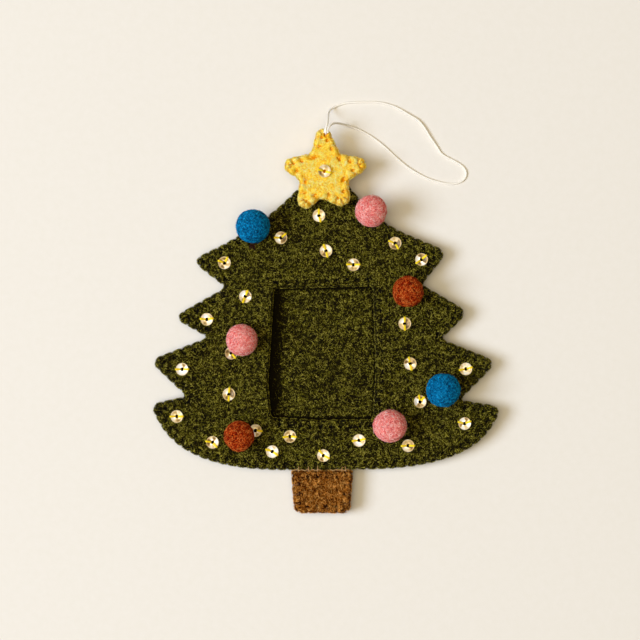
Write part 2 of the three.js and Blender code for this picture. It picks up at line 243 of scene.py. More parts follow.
def tubes(
    path: np.ndarray, radius: np.ndarray, sides: int, axis: np.ndarray | None = None
) -> tuple[np.ndarray, list[np.ndarray]]:
    """Closed round tubes along many paths.

    Each point of a path carries a circle square to it. The circle's first direction is the path's
    own direction crossed with the axis that the path follows least. A fan closes each end.

    Args:
        path: Points of the paths, in millimetres: paths, points, three.
        radius: The tube's radius at each point: paths, points, and sides where it isn't round.
        sides: Corners of each circle.
        axis: An axis that no path runs along, where it isn't to be chosen.

    Returns:
        All the points, and the faces in blocks.
    """
    count, steps = path.shape[:2]
    along = unit(np.gradient(path, axis=1))
    if axis is None:
        axis = np.eye(3)[np.abs(along).max(axis=1).argmin(axis=1)][:, None]
    side = unit(np.cross(along, axis))
    other = np.cross(along, side)
    angle = (np.arange(sides) * 2 * np.pi / sides)[:, None]
    ring = np.cos(angle) * side[:, :, None] + np.sin(angle) * other[:, :, None]
    spread = radius[..., None] if radius.ndim == 2 else radius
    points = path[:, :, None] + ring * spread[..., None]
    fan = np.array([[0, k, k + 1] for k in range(1, sides - 1)])
    starts = (np.arange(count) * steps * sides)[:, None, None]
    body = (grid_quads(steps, sides)[None] + starts).reshape(-1, 4)
    first = (fan[None, :, ::-1] + starts).reshape(-1, 3)
    last = (fan[None] + (steps - 1) * sides + starts).reshape(-1, 3)
    return points.reshape(-1, 3), [body, first, last]


def spindles(path: np.ndarray, radius: np.ndarray) -> tuple[np.ndarray, list[np.ndarray]]:
    """Thin three-sided fibres along many short paths, pointed at both ends.

    Each middle point carries a triangle square to the fibre, and the end points close it.

    Args:
        path: Points of the paths, in millimetres: fibres, points, three.
        radius: The radius at each middle point: fibres, points less two.

    Returns:
        All the points and the faces in blocks.
    """
    along = unit(path[:, -1] - path[:, 0])
    side = unit(np.cross(along, np.eye(3)[np.abs(along).argmin(axis=1)]))[:, None]
    other = np.cross(along[:, None], side)
    angle = (np.arange(3) * 2 * np.pi / 3)[:, None]
    ring = np.cos(angle) * side + np.sin(angle) * other
    middle = path[:, 1:-1, None] + ring[:, None] * radius[..., None, None]
    points = np.concatenate([path[:, :1], middle.reshape(len(path), -1, 3), path[:, -1:]], axis=1)
    here = np.arange(3)
    beside = (here + 1) % 3
    last = points.shape[1] - 1
    root = np.column_stack([np.full(3, 0), 1 + beside, 1 + here])
    body = [
        np.column_stack([k + here, k + beside, k + 3 + beside, k + 3 + here]) for k in range(1, last - 3, 3)
    ]
    tip = np.column_stack([last - 3 + here, last - 3 + beside, np.full(3, last)])
    starts = (np.arange(len(path)) * (last + 1))[:, None, None]
    blocks = [(part[None] + starts).reshape(-1, part.shape[1]) for part in (root, *body, tip)]
    return points.reshape(-1, 3), blocks


def hand_over(slot: str, *pieces: bpy.types.Object) -> None:
    """Ties finished pieces to the ornament's one body and reports them.

    Args:
        slot: The material slot that they share; not used.
        pieces: The finished pieces.
    """
    for piece in pieces:
        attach(piece, "root")
        log.info("%s: %d faces", piece.name, len(piece.data.polygons))


@dataclass(frozen=True)
class Nap:
    """How the wool fibres on a surface look, in millimetres."""

    length: float = 1.25
    width: float = 0.17
    lift: float = 0.2
    curl: float = 1.3
    stand: float = 0.0
    light_share: float = 0.28
    parts: int = 3

    def paths(self, points: np.ndarray, normals: np.ndarray, rng: np.random.Generator) -> np.ndarray:
        """The points along each fibre.

        A fibre sets out in a random direction along the surface and turns steadily to one side, so
        it bends as an arc. It rises off the surface in its middle. With stand it leaves the surface
        like a hair as well.

        Args:
            points: Where each fibre starts.
            normals: The surface's direction there.
            rng: The source of random numbers.

        Returns:
            Points: fibres, one more than its parts, three.
        """
        count = len(points)
        first = unit(np.cross(normals, rng.normal(size=(count, 3))))[:, None]
        second = np.cross(normals, first[:, 0])[:, None]
        step = self.length / self.parts * rng.uniform(0.5, 1.4, count)[:, None]
        heading = rng.uniform(-self.curl, self.curl, count)[:, None] * np.linspace(0, 1, self.parts)[None]
        ahead = np.cumsum(np.hstack([np.zeros((count, 1)), step * np.cos(heading)]), axis=1)
        across = np.cumsum(np.hstack([np.zeros((count, 1)), step * np.sin(heading)]), axis=1)
        share = np.linspace(0, 1, self.parts + 1)[None]
        height = self.lift * rng.uniform(0.2, 1.4, count)[:, None] * np.sin(np.pi * (0.1 + 0.8 * share))
        height = height + self.stand * rng.uniform(0.3, 1.0, count)[:, None] * share
        rise = normals[:, None] * height[..., None]
        return points[:, None] + first * ahead[..., None] + second * across[..., None] + rise

    def grow(
        self, surface: Surface, path: np.ndarray, rng: np.random.Generator, bias: np.ndarray | float = 0.0
    ) -> None:
        """Adds the fibres along their paths.

        Args:
            surface: What to add them to.
            path: Their points.
            rng: The source of random numbers.
            bias: How much lighter each one is than its random tint; callers put painted light and painted
                shade in it.
        """
        count = len(path)
        width = self.width * rng.uniform(0.6, 1.3, count)[:, None]
        points, blocks = spindles(path, width / 2 * np.linspace(1.0, 0.85, self.parts - 1)[None])
        light = rng.random(count) < self.light_share
        tint = np.where(light, rng.uniform(0.65, 1.0, count), rng.uniform(0.0, 0.6, count))
        surface.add(points, blocks, np.repeat(np.clip(tint + bias, 0, 1), len(points) // count))


def linear(code: str) -> tuple[float, float, float, float]:
    """A colour written as six hexadecimal digits, in the linear values that a shader takes."""
    shown = np.array([int(code[k : k + 2], 16) for k in (0, 2, 4)]) / 255
    value = np.where(shown <= 0.04045, shown / 12.92, ((shown + 0.055) / 1.055) ** 2.4)
    return (*value.tolist(), 1.0)


class Recipe:
    """A node material under construction."""

    def __init__(self, name: str) -> None:
        """Starts the material with its plain shader.

        Args:
            name: The material's name.
        """
        self.material = bpy.data.materials.new(name)
        self.material.use_nodes = True
        self.tree = self.material.node_tree
        self.shader = self.tree.nodes["Principled BSDF"]
        self.place = self.add("ShaderNodeTexCoord").outputs["Object"]

    def add(self, kind: str, inputs: dict | None = None, **settings: object) -> bpy.types.Node:
        """Adds a node.

        Args:
            kind: Blender's name for the node.
            inputs: A value or another node's output for each named or numbered input.
            settings: The node's own settings.

        Returns:
            The new node.
        """
        made = self.tree.nodes.new(kind)
        for key, value in settings.items():
            setattr(made, key, value)
        for key, value in (inputs or {}).items():
            if isinstance(value, bpy.types.NodeSocket):
                self.tree.links.new(value, made.inputs[key])
            else:
                made.inputs[key].default_value = value
        return made

    def tint(self) -> bpy.types.NodeSocket:
        """The tint that each point or face of the mesh carries."""
        return self.add("ShaderNodeAttribute", attribute_name="tint").outputs["Fac"]

    def sum(self, *terms: tuple[bpy.types.NodeSocket, float]) -> bpy.types.NodeSocket:
        """The weighted sum of some outputs.

        Args:
            terms: Each output with its weight.

        Returns:
            The sum.
        """
        total = None
        for socket, weight in terms:
            inputs = {0: socket, 1: weight, 2: 0.0 if total is None else total}
            total = self.add("ShaderNodeMath", inputs, operation="MULTIPLY_ADD").outputs[0]
        return total

    def stretched(
        self, value: bpy.types.NodeSocket, low: float, high: float, top: float = 1.0
    ) -> bpy.types.NodeSocket:
        """A value spread out evenly.

        Args:
            value: What to spread.
            low: The value that becomes 0.
            high: The value that becomes the top.
            top: The new highest value.

        Returns:
            The spread value.
        """
        inputs = {"Value": value, "From Min": low, "From Max": high, "To Min": 0.0, "To Max": top}
        return self.add("ShaderNodeMapRange", inputs).outputs[0]

    def noise(
        self, size: float, detail: float = 2.0, bend: float = 0.0, shift: float = 0.0
    ) -> bpy.types.NodeSocket:
        """Smooth noise.

        Args:
            size: How wide its spots are, in millimetres.
            detail: How many finer layers it has.
            bend: How far it is distorted.
            shift: How far it is moved along all axes, in millimetres.

        Returns:
            The noise, about 0.5.
        """
        moved = self.add("ShaderNodeMapping", {"Vector": self.place, "Location": (shift * MM,) * 3})
        inputs = {
            "Vector": moved.outputs[0],
            "Scale": 1 / (size * MM),
            "Detail": detail,
            "Roughness": 0.6,
            "Distortion": bend,
        }
        return self.add("ShaderNodeTexNoise", inputs).outputs["Fac"]

    def strands(self, size: float, width: float, shift: float) -> bpy.types.NodeSocket:
        """Thin curly lines, like fibres: where smooth noise is close to its middle value.

        Args:
            size: How far apart the lines are, in millimetres.
            width: How much of the noise's range a line takes.
            shift: How far the pattern is moved, in millimetres.

        Returns:
            1 on a line and 0 beside it.
        """
        wave = self.noise(size, 1.0, 1.1, shift)
        away = self.add("ShaderNodeMath", {0: wave, 1: 0.5}, operation="SUBTRACT").outputs[0]
        away = self.add("ShaderNodeMath", {0: away}, operation="ABSOLUTE").outputs[0]
        inputs = {"Value": away, "From Min": 0.0, "From Max": width, "To Min": 1.0, "To Max": 0.0}
        return self.add("ShaderNodeMapRange", inputs, interpolation_type="SMOOTHSTEP").outputs[0]

    def ramp(self, value: bpy.types.NodeSocket, stops: list[tuple[float, str]]) -> bpy.types.NodeSocket:
        """Colours by value.

        Args:
            value: From 0 to 1.
            stops: Where each colour stands, and its hexadecimal digits.

        Returns:
            The colour.
        """
        made = self.add("ShaderNodeValToRGB", {"Fac": value})
        band = made.color_ramp
        while len(band.elements) < len(stops):
            band.elements.new(0.5)
        for element, (place, code) in zip(band.elements, stops):
            element.position = place
            element.color = linear(code)
        return made.outputs["Color"]

    def bump(self, height: bpy.types.NodeSocket, depth: float) -> None:
        """Raises the surface by height, with depth in millimetres for a height of 1."""
        inputs = {"Height": height, "Distance": depth * MM, "Strength": 1.0}
        made = self.add("ShaderNodeBump", inputs)
        self.tree.links.new(made.outputs["Normal"], self.shader.inputs["Normal"])

    def finish(self, color: bpy.types.NodeSocket, values: dict) -> bpy.types.Material:
        """Sets the colour and the shader's own values.

        Args:
            color: The colour at each place.
            values: A value for each of the shader's named inputs.

        Returns:
            The finished material.
        """
        self.tree.links.new(color, self.shader.inputs["Base Color"])
        for key, value in values.items():
            self.shader.inputs[key].default_value = value
        return self.material


@dataclass(frozen=True)
class WoolFinish:
    """Felted wool: fibres of several shades pressed together, matt, with a soft sheen."""

    name: str
    shades: tuple[str, ...]
    sheen: str
    grain: float = 0.45
    relief: float = 0.16
    sheen_weight: float = 0.0
    # The ground's colours reach only this share of the shades: a darker ground, painted shade in the depths
    # between the fibres.
    ground: float = 0.66

    @property
    def slot(self) -> str:
        """The material slot, which has the finish's own name."""
        return self.name

    def material(self) -> bpy.types.Material:
        """The felt's own surface, with fibres drawn as curly lines over a mottled ground, darkened as
        painted shade between the fibres.

        Returns:
            The material.
        """
        recipe = Recipe(self.name)
        ground = recipe.noise(self.grain, 3.0, 0.6)
        fine = recipe.noise(self.grain * 0.45, 2.0, 0.4, 31.0)
        patches = recipe.noise(self.grain * 18, 2.0, 0.0, 11.0)
        wide_lines = recipe.strands(self.grain * 1.7, 0.035, 3.0)
        thin_lines = recipe.strands(self.grain * 1.1, 0.03, 17.0)
        value = recipe.sum(
            (ground, 1.1),
            (fine, 0.7),
            (patches, 0.25),
            (wide_lines, 0.3),
            (thin_lines, 0.25),
            (recipe.tint(), 0.5),
        )
        # Painted shade: the ground between the fibres is held darker.
        value = recipe.stretched(value, 0.95, 1.9, self.ground)
        height = recipe.sum((ground, 0.6), (fine, 0.3), (wide_lines, 0.35), (thin_lines, 0.25))
        recipe.bump(height, self.relief)
        return recipe.finish(recipe.ramp(value, self.stops()), self.shader_values())

    def fibre_material(self) -> bpy.types.Material:
        """Single fibres, each in the shade that its tint gives.

        Returns:
            The material.
        """
        recipe = Recipe(self.name + "_fibres")
        value = recipe.sum((recipe.tint(), 0.9), (recipe.noise(0.8), 0.2))
        return recipe.finish(recipe.ramp(value, self.stops()), self.shader_values())

    def stops(self) -> list[tuple[float, str]]:
        """The shades, evenly spaced from 0, the darkest, to 1."""
        return [(k / (len(self.shades) - 1), code) for k, code in enumerate(self.shades)]

    def shader_values(self) -> dict:
        """The shader's plain values.

        Returns:
            A value for each named input.
        """
        return {
            "Roughness": 0.95,
            "Specular IOR Level": 0.08,
            "Sheen Weight": self.sheen_weight,
            "Sheen Roughness": 0.45,
            "Sheen Tint": linear(self.sheen),
        }


@dataclass(frozen=True)
class ThreadFinish:
    """Sewing thread or cord: fine twisted strands with a faint gloss."""

    name: str
    shades: tuple[str, str, str]
    grain: float = 0.18
    relief: float = 0.05
    gloss: float = 0.3
    slot: str = "sewing_thread"

    def material(self) -> bpy.types.Material:
        """Shades by tint, with fine fibres over them.

        Returns:
            The material.
        """
        recipe = Recipe(self.name)
        fine = recipe.noise(self.grain, 2.0, 0.5)
        value = recipe.sum((fine, 0.5), (recipe.tint(), 0.5))
        value = recipe.stretched(value, 0.2, 0.8)
        stops = list(zip((0.0, 0.5, 1.0), self.shades))
        recipe.bump(fine, self.relief)
        values = {"Roughness": 0.6, "Specular IOR Level": self.gloss, "Sheen Weight": 0.3 * self.gloss}
        return recipe.finish(recipe.ramp(value, stops), values)


@dataclass(frozen=True)
class SequinFinish:
    """Thin metal-coated film, faceted, in pale champagne and white."""

    name: str = "sequin_foil"
    slot: str = "sequin_foil"

    def material(self) -> bpy.types.Material:
        """Each facet has its own shade, which is its tint and holds a painted reflection, with faint cloudy
        wear.

        Returns:
            The material.
        """
        recipe = Recipe(self.name)
        value = recipe.sum((recipe.tint(), 1.0), (recipe.noise(0.9, 2.0, 0.3), 0.16))
        stops = [(0.0, "342e24"), (0.2, "94743f"), (0.45, "dcbe80"), (0.68, "faeac8"), (0.88, "fffffc")]
        values = {"Metallic": 0.3, "Roughness": 0.35, "Coat Weight": 0.1, "Coat Roughness": 0.15}
        recipe.bump(recipe.noise(0.35, 2.0), 0.02)
        return recipe.finish(recipe.ramp(value, stops), values)


@dataclass(frozen=True)
class TableFinish:
    """Smooth painted board, cream, with a faint uneven surface."""

    name: str = "table_paint"
    color: str = "e7e2da"
    shade: str = "e5e0d7"

    def material(self) -> bpy.types.Material:
        """Cream with very faint mottling.

        Returns:
            The material.
        """
        recipe = Recipe(self.name)
        value = recipe.noise(3.0, 3.0)
        recipe.bump(recipe.noise(3.5, 3.0), 0.05)
        values = {"Roughness": 0.9, "Specular IOR Level": 0.1}
        return recipe.finish(recipe.ramp(value, [(0.3, self.shade), (0.7, self.color)]), values)


TREE_WOOL = WoolFinish(
    "green_felt",
    ("060400", "1a1400", "443d05", "918a16", "ecdf62"),
    sheen="6a6420",
    grain=0.6,
    relief=0.3,
    ground=0.33,
)
STAR_WOOL = WoolFinish(
    "yellow_felt",
    ("de8600", "fcbc10", "ffe64e", "fff480", "fffaac"),
    sheen="ffec80",
    grain=0.55,
    sheen_weight=0.2,
    ground=1.0,
)
TRUNK_WOOL = WoolFinish(
    "brown_felt",
    ("100400", "3a1800", "7a4006", "ca7a22", "ffc064"),
    sheen="b8703a",
    grain=0.6,
    relief=0.2,
    sheen_weight=0.02,
    ground=0.48,
)
BLUE_WOOL = WoolFinish("blue_wool", ("000c1c", "003862", "006ca4", "0096d4", "20baf8"), sheen="0078b0")
PINK_WOOL = WoolFinish(
    "pink_wool",
    ("8c1828", "e65458", "fd9088", "ffbcb0", "fff6f0"),
    sheen="ffb8b0",
    relief=0.14,
    sheen_weight=0.1,
    ground=0.82,
)
RUST_WOOL = WoolFinish("rust_wool", ("1a0200", "580c00", "a02200", "dc4e04", "ffa04c"), sheen="c04c10")
GREEN_THREAD = ThreadFinish("green_thread", ("231f05", "423c0e", "6a6424"), gloss=0.08)
YELLOW_THREAD = ThreadFinish("yellow_thread", ("f0a400", "fcc428", "ffdc50"))
BROWN_THREAD = ThreadFinish("brown_thread", ("4a2408", "8a5420", "c08a4c"))
SEQUIN_THREAD = ThreadFinish("sequin_thread", ("dca400", "ffe400", "fff81c"))
TRUNK_THREAD = ThreadFinish("trunk_thread", ("8c5c2c", "c8985c", "ecc898"), gloss=0.15)
DARK_THREAD = ThreadFinish("ball_thread", ("180806", "30100c", "4c201a"), gloss=0.05)
CORD_YARN = ThreadFinish(
    "cord_yarn", ("dcd4c4", "f2ece0", "fbf7ee"), grain=0.22, relief=0.03, slot="cord_yarn"
)


def left_of(line: np.ndarray) -> np.ndarray:
    """The direction to the left of a closed line at each of its points."""
    along = unit(np.roll(line, -1, axis=0) - np.roll(line, 1, axis=0))
    return np.column_stack([-along[:, 1], along[:, 0]])


def doubled_area(line: np.ndarray) -> float:
    """Twice the area inside a closed line, positive if it runs counterclockwise."""
    after = np.roll(line, -1, axis=0)
    return float((line[:, 0] * after[:, 1] - line[:, 1] * after[:, 0]).sum())


def inside(points: np.ndarray, line: np.ndarray) -> np.ndarray:
    """Whether each point lies in a closed line: a ray from it crosses the line an odd number of times.

    Args:
        points: The points in the plane.
        line: The closed line's points, in order.

    Returns:
        True or False for each point.
    """
    after = np.roll(line, -1, axis=0)
    result = np.zeros(len(points), bool)
    for part in np.array_split(np.arange(len(points)), max(1, len(points) // 4000)):
        x, y = points[part, 0][:, None], points[part, 1][:, None]
        spans = (line[:, 1] > y) != (after[:, 1] > y)
        rise = np.where(after[:, 1] == line[:, 1], 1.0, after[:, 1] - line[:, 1])
        crossing = line[:, 0] + (after[:, 0] - line[:, 0]) * (y - line[:, 1]) / rise
        result[part] = (spans & (x < crossing)).sum(axis=1) % 2 == 1
    return result


def cad_rings(node: str) -> list[np.ndarray]:
    """The closed rims of a CAD felt layer, read at the height where the layer is widest.

    Args:
        node: The CAD node.

    Returns:
        The points of each rim in millimetres, the outer rim first, each with the felt on its left.
    """
    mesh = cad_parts[node].data
    points = np.empty(len(mesh.vertices) * 3)
    mesh.vertices.foreach_get("co", points)
    mesh.calc_loop_triangles()
    triangles = np.empty(len(mesh.loop_triangles) * 3, int)
    mesh.loop_triangles.foreach_get("vertices", triangles)
    places, same = np.unique(np.round(points.reshape(-1, 3) / MM, 3), axis=0, return_inverse=True)
    triangles = same.ravel()[triangles].reshape(-1, 3)
    levels = np.unique(places[:, 2])
    widest = max(levels, key=lambda level: np.ptp(places[places[:, 2] == level, 0]))
    edges = np.sort(triangles[:, [0, 1, 1, 2, 2, 0]].reshape(-1, 2), axis=1)
    edges = np.unique(edges[(places[edges, 2] == widest).all(axis=1)], axis=0)
    links: dict[int, list[int]] = {}
    for a, b in edges.tolist():
        links.setdefault(a, []).append(b)
        links.setdefault(b, []).append(a)
    rings = []
    while links:
        ring = [next(iter(links))]
        ahead = links.pop(ring[0])[0]
        while ahead in links:
            ring.append(ahead)
            ahead = next((k for k in links.pop(ahead) if k in links), ring[0])
        rings.append(places[ring, :2])
    rings.sort(key=lambda line: -abs(doubled_area(line)))
    return [
        line if (doubled_area(line) > 0) == (k == 0) else line[::-1] for k, line in enumerate(rings)
    ]


@dataclass
class Rim:
    """One edge of a felt layer, followed with the felt on the left, and its stitches.

    In the CAD ring every third point may be a stitch, drawn into the felt. The drawing in is undone
    here and a smooth curve is laid through the ring.
    """

    ring: np.ndarray
    sewn_right_of: float = -1e9
    sewn_below: float = 1e9
    draw: float = 0.4
    parts: int = 5
    per_stitch: int = 3
    rounding: int = 14
    # An inset goes no further than this share of the radius of a corner, which is measured over so
    # many points to each side, and its limit changes by no more than this slope along the line.
    corner_share: float = 0.6
    corner_reach: int = 3
    limit_slope: float = 0.4
    least_gain: float = 0.04

    def __post_init__(self) -> None:
        """Works out the curve, its directions and the stitches."""
        # Which points of the ring are stitches: the third of them that lies furthest in.
        middle = (np.roll(self.ring, 1, axis=0) + np.roll(self.ring, -1, axis=0)) / 2
        sunk = ((self.ring - middle) * left_of(self.ring)).sum(axis=1)
        means = [sunk[k :: self.per_stitch].mean() for k in range(self.per_stitch)]
        ring = np.roll(self.ring, -int(np.argmax(means)), axis=0)
        drawn = np.zeros(len(ring), bool)
        drawn[:: self.per_stitch] = True
        sewn = drawn & (ring[:, 0] > self.sewn_right_of)
        ring = np.where(sewn[:, None], ring - self.draw * left_of(ring), ring)
        self.line = closed_curve(ring, self.parts)
        for _ in range(self.rounding):
            self.line = (np.roll(self.line, 1, axis=0) + 2 * self.line + np.roll(self.line, -1, axis=0)) / 4

        # The stitches, and how far along the line each point is from the nearest one.
        self.inward = left_of(self.line)
        self.forward = np.column_stack([self.inward[:, 1], -self.inward[:, 0]])
        steps = np.linalg.norm(np.roll(self.line, -1, axis=0) - self.line, axis=1)
        along = np.concatenate([[0], np.cumsum(steps)[:-1]])
        self.length = steps.sum()
        shown = sewn & (ring[:, 1] < self.sewn_below)
        self.stitches = np.flatnonzero(shown) * self.parts
        gap = along[:, None] - along[np.flatnonzero(sewn) * self.parts][None]
        gap = (gap + self.length / 2) % self.length - self.length / 2
        nearest = np.abs(gap).argmin(axis=1)
        self.offset = gap[np.arange(len(gap)), nearest]

        # How far in each point may be moved before a tight corner folds over itself.
        before = unit(self.line - np.roll(self.line, self.corner_reach, axis=0))
        ahead = unit(np.roll(self.line, -self.corner_reach, axis=0) - self.line)
        turn = before[:, 0] * ahead[:, 1] - before[:, 1] * ahead[:, 0]
        self.most = self.corner_share * self.corner_reach * steps.mean() / np.maximum(turn, 1e-3)
        for _ in range(20):
            beside = np.minimum(np.roll(self.most, 1), np.roll(self.most, -1))
            self.most = np.minimum(self.most, beside + self.limit_slope * steps.mean())

    def inset(self, amount: np.ndarray) -> np.ndarray:
        """The line moved inwards, by less than asked near a corner too tight for that."""
        return self.eased(self.line + self.inward * np.minimum(amount, self.most)[:, None])

    def eased(self, moved: np.ndarray) -> np.ndarray:
        """A line moved sideways, smoothed at tight corners where its points would run backwards.

        Args:
            moved: The rim's line after the move.

        Returns:
            The line, whose points all run forwards.
        """
        forward = unit(np.roll(self.line, -1, axis=0) - self.line)
        for _ in range(60):
            gain = ((np.roll(moved, -1, axis=0) - moved) * forward).sum(axis=1)
            tight = gain < self.least_gain
            if not tight.any():
                break
            tight = tight | np.roll(tight, 1) | np.roll(tight, 2) | np.roll(tight, -1)
            between = (np.roll(moved, 1, axis=0) + np.roll(moved, -1, axis=0)) / 2
            moved = np.where(tight[:, None], between, moved)
        return moved


@dataclass
class FeltLayer:
    """One cut layer of felt with rounded edges, sunk and puckered where the thread draws it in.

    Lengths are in millimetres, and tints and shades are shares of the range from dark to light.
    """

    name: str
    node: str
    finish: WoolFinish
    facing: Facing
    nap: Nap
    fibres: int
    fuzz: int
    seed: int = 1
    cloth: bool = False
    # Its mesh: the loose grid's spacing, and the rows along a rim.
    grid: float = 0.85
    rows_in: tuple[float, ...] = (0.3, 0.65, 1.05, 1.5, 2.0, 2.5, 3.0)
    coarse_from: float = 2.0
    side_steps: int = 9
    # The cut edge: how wide and deep it rounds off, how far back it starts, and how the side bulges.
    edge_round: float = 1.5
    edge_drop: float = 1.15
    edge_back: float = 0.25
    bulge: float = 0.2
    rounding: int = 3
    # The felt's own unevenness.
    waviness: float = 0.1
    roughness: float = 0.05
    # Where the rims are sewn.
    sewn_right_of: float = -1e9
    sewn_below: float = 1e9
    # What a stitch does: it draws the edge in and presses a slanting groove as far as its hole.
    draw: float = 0.38
    groove: float = 0.8
    half_pitch: float = 1.9
    reach: float = 2.6
    slant: float = 0.22
    groove_end: tuple[float, float] = (-0.6, 0.4)
    hole_radius: float = 0.7
    hole_depth: float = 1.1
    hole_spread: float = 0.45
    # The cushions between two stitches.
    puff: float = 0.32
    puff_place: float = 1.6
    puff_width: float = 1.1
    # Dents where something is sewn through the felt.
    dent_places: tuple[tuple[float, float], ...] = ()
    dent: float = 1.6
    dent_radius: float = 0.75
    dent_clear: float = 1.5
    dent_rings: tuple[float, ...] = (0.02, 0.45, 0.7, 0.95, 1.25)
    dent_sides: int = 12
    # The face against the other layer, and the part of it that shows.
    seam_tuck: float = 0.35
    seam_overlap: float = 0.2
    seam_waviness: float = 0.3
    seam_grid: float = 1.1
    seam_clear: float = 1.4
    seam_fibres: float = 3.4
    open_seam: tuple[float, ...] = ()
    open_margin: float = 3.0
    # The pocket's open edge, which stands up, and the edges that press on the layer below, near which the
    # fibres are thinned and get painted shade.
    pocket_lift: float = 0.0
    pocket_ends: float = 5.0
    lift_reach: float = 6.0
    pressed: tuple[tuple[np.ndarray, float], ...] = ()
    press_sink: float = 1.1
    rim_painted_shade: float = 0.5
    # The tint of its face, with painted shade: in the open, how much darker in a groove, and in a needle
    # hole.
    ground_tint: float = 0.55
    groove_painted_shade: float = 0.4
    groove_fade: tuple[float, float] = (2.2, 3.0)
    hole_edge: float = 0.6
    hole_tint: float = -0.2
    hole_painted_shade: float = 0.6
    dent_fade: tuple[float, float] = (1.0, 1.4)
    # The room that fibres have over the table.
    table_room: float = 0.0
    lowest_fibre: float = 0.07
    lowest_hair: float = 0.1
    # The nap: how many pieces it is split into, its tufts, and where it leaves the felt bare.
    nap_layers: int = 1
    nap_share: float = 0.8
    tuft: float = 1.1
    tuft_share: float = 0.5
    tuft_lift: float = 0.1
    # Tufts are tinted lighter: partly the wool's own uneven tone, partly painted light on the raised tufts.
    tuft_tint: float = 0.14
    # Painted light on the hairs along the rims, where light shines through the fuzz.
    fringe_painted_light: float = 0.0
    fringe_clear: float = 0.45
    fringe_down: float = 0.85
    fringe_tilt: tuple[float, float] = (-0.3, 0.5)
    dent_bare: float = 1.15
    groove_clear: float = 0.25

    def __post_init__(self) -> None:
        """Reads the layer's rims and heights from its CAD solid."""
        rings = cad_rings(self.node)
        self.rims = [
            Rim(ring, -1e9 if k == 0 else self.sewn_right_of, self.sewn_below, rounding=self.rounding)
            for k, ring in enumerate(rings)
        ]
        low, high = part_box(self.node)
        self.low, self.high = low.z / MM, high.z / MM
        self.samples = np.vstack([rim.line for rim in self.rims]).astype(np.float32)
        self.offsets = np.concatenate([rim.offset for rim in self.rims])
        self.rng = np.random.default_rng(self.seed)
        self.dents = np.array(self.dent_places).reshape(-1, 2)
        self.pocket_edge = np.empty((0, 2))
        if self.pocket_lift:
            line = self.rims[1].line
            edge = line[line[:, 0] < self.sewn_right_of]
            low, high = edge[:, 1].min() + self.pocket_ends, edge[:, 1].max() - self.pocket_ends
            self.pocket_edge = edge[(edge[:, 1] > low) & (edge[:, 1] < high)]

    def nearest(self, flat: np.ndarray) -> tuple[np.ndarray, np.ndarray]:
        """How far each point is from the nearest rim, and how far along the rim from a stitch.

        Args:
            flat: Points in the plane.

        Returns:
            The distances from the rim and the offsets along it.
        """
        distance, offset = np.empty(len(flat)), np.empty(len(flat))
        flat = flat.astype(np.float32)
        for part in np.array_split(np.arange(len(flat)), max(1, len(flat) // 2000)):
            square = ((flat[part, None] - self.samples[None]) ** 2).sum(axis=2)
            best = square.argmin(axis=1)
            distance[part] = np.sqrt(square[np.arange(len(part)), best])
            offset[part] = self.offsets[best]
        return distance, offset

    def sewn(self, distance: np.ndarray, offset: np.ndarray) -> np.ndarray:
        """How much the thread holds the felt down: 1 at a stitch, 0 half-way to the next.

        The felt between two stitches is a cushion, so it falls off ever more steeply to the thread.
        """
        away = np.abs(offset + self.slant * distance) / self.half_pitch
        return np.clip(1 - away, 0, 1) ** 1.9

    def away_from(self, flat: np.ndarray, places: np.ndarray) -> np.ndarray:
        """How far each point is from the nearest of some places.

        Args:
            flat: Points in the plane.
            places: The places, which may be none.

        Returns:
            The distances, which are very great where there are no places.
        """
        if not len(places):
            return np.full(len(flat), 1e3)
        gaps = flat[:, None] - places[None]
        return np.sqrt((gaps**2).sum(axis=2)).min(axis=1)

    def lifted(self, flat: np.ndarray) -> np.ndarray:
        """How far the felt stands up along the pocket's open edge: a bell curve of the distance from it."""
        away = self.away_from(flat, self.pocket_edge)
        return self.pocket_lift * np.exp(-((away / self.lift_reach) ** 2))

    def depth(self, distance: np.ndarray, offset: np.ndarray) -> np.ndarray:
        """How far the sewn face lies below its highest level.

        The edge rounds off as a quarter of an ellipse. Each stitch presses a groove as far as its
        needle hole, and the felt puffs up between stitches.

        Args:
            distance: From the rim.
            offset: Along the rim from the nearest stitch.

        Returns:
            The depth in millimetres.
        """
        held = self.sewn(distance, offset)
        within = np.maximum(distance - self.edge_back - self.draw * held, 0)
        fall = np.clip(1 - within / self.edge_round, 0, 1)
        rounded = self.edge_drop * (1 - np.sqrt(1 - fall**2))
        covered = 1 - smoothstep(self.reach + self.groove_end[0], self.reach + self.groove_end[1], distance)
        square = (distance - self.reach) ** 2 + (offset + self.slant * distance) ** 2
        hole = np.exp(-square / self.hole_spread)
        puffed = self.puff * (1 - held) * np.exp(-(((distance - self.puff_place) / self.puff_width) ** 2))
        return rounded + self.groove * held * covered + self.hole_depth * hole - puffed

    def groove_heights(self, inward: list[float], proud: float) -> list[float]:
        """The heights of a thread that lies in a groove.

        Args:
            inward: How far in from the rim each point of the thread is.
            proud: How far the thread's middle stands over the felt.

        Returns:
            A height for each point.
        """
        distance = np.array(inward)
        depth = self.depth(distance, -self.slant * distance)
        if self.facing is Facing.UP:
            return (self.high - depth + proud).tolist()
        return (self.low + self.table_room + depth - proud).tolist()

    def waves(self, flat: np.ndarray) -> np.ndarray:
        """The felt's own uneven surface, from two sizes of noise."""
        place = upright(flat, 0.0)
        wide = self.waviness * soft_noise(place, 8.0, self.seed)
        return wide + self.roughness * soft_noise(place, 1.5, self.seed + 1)

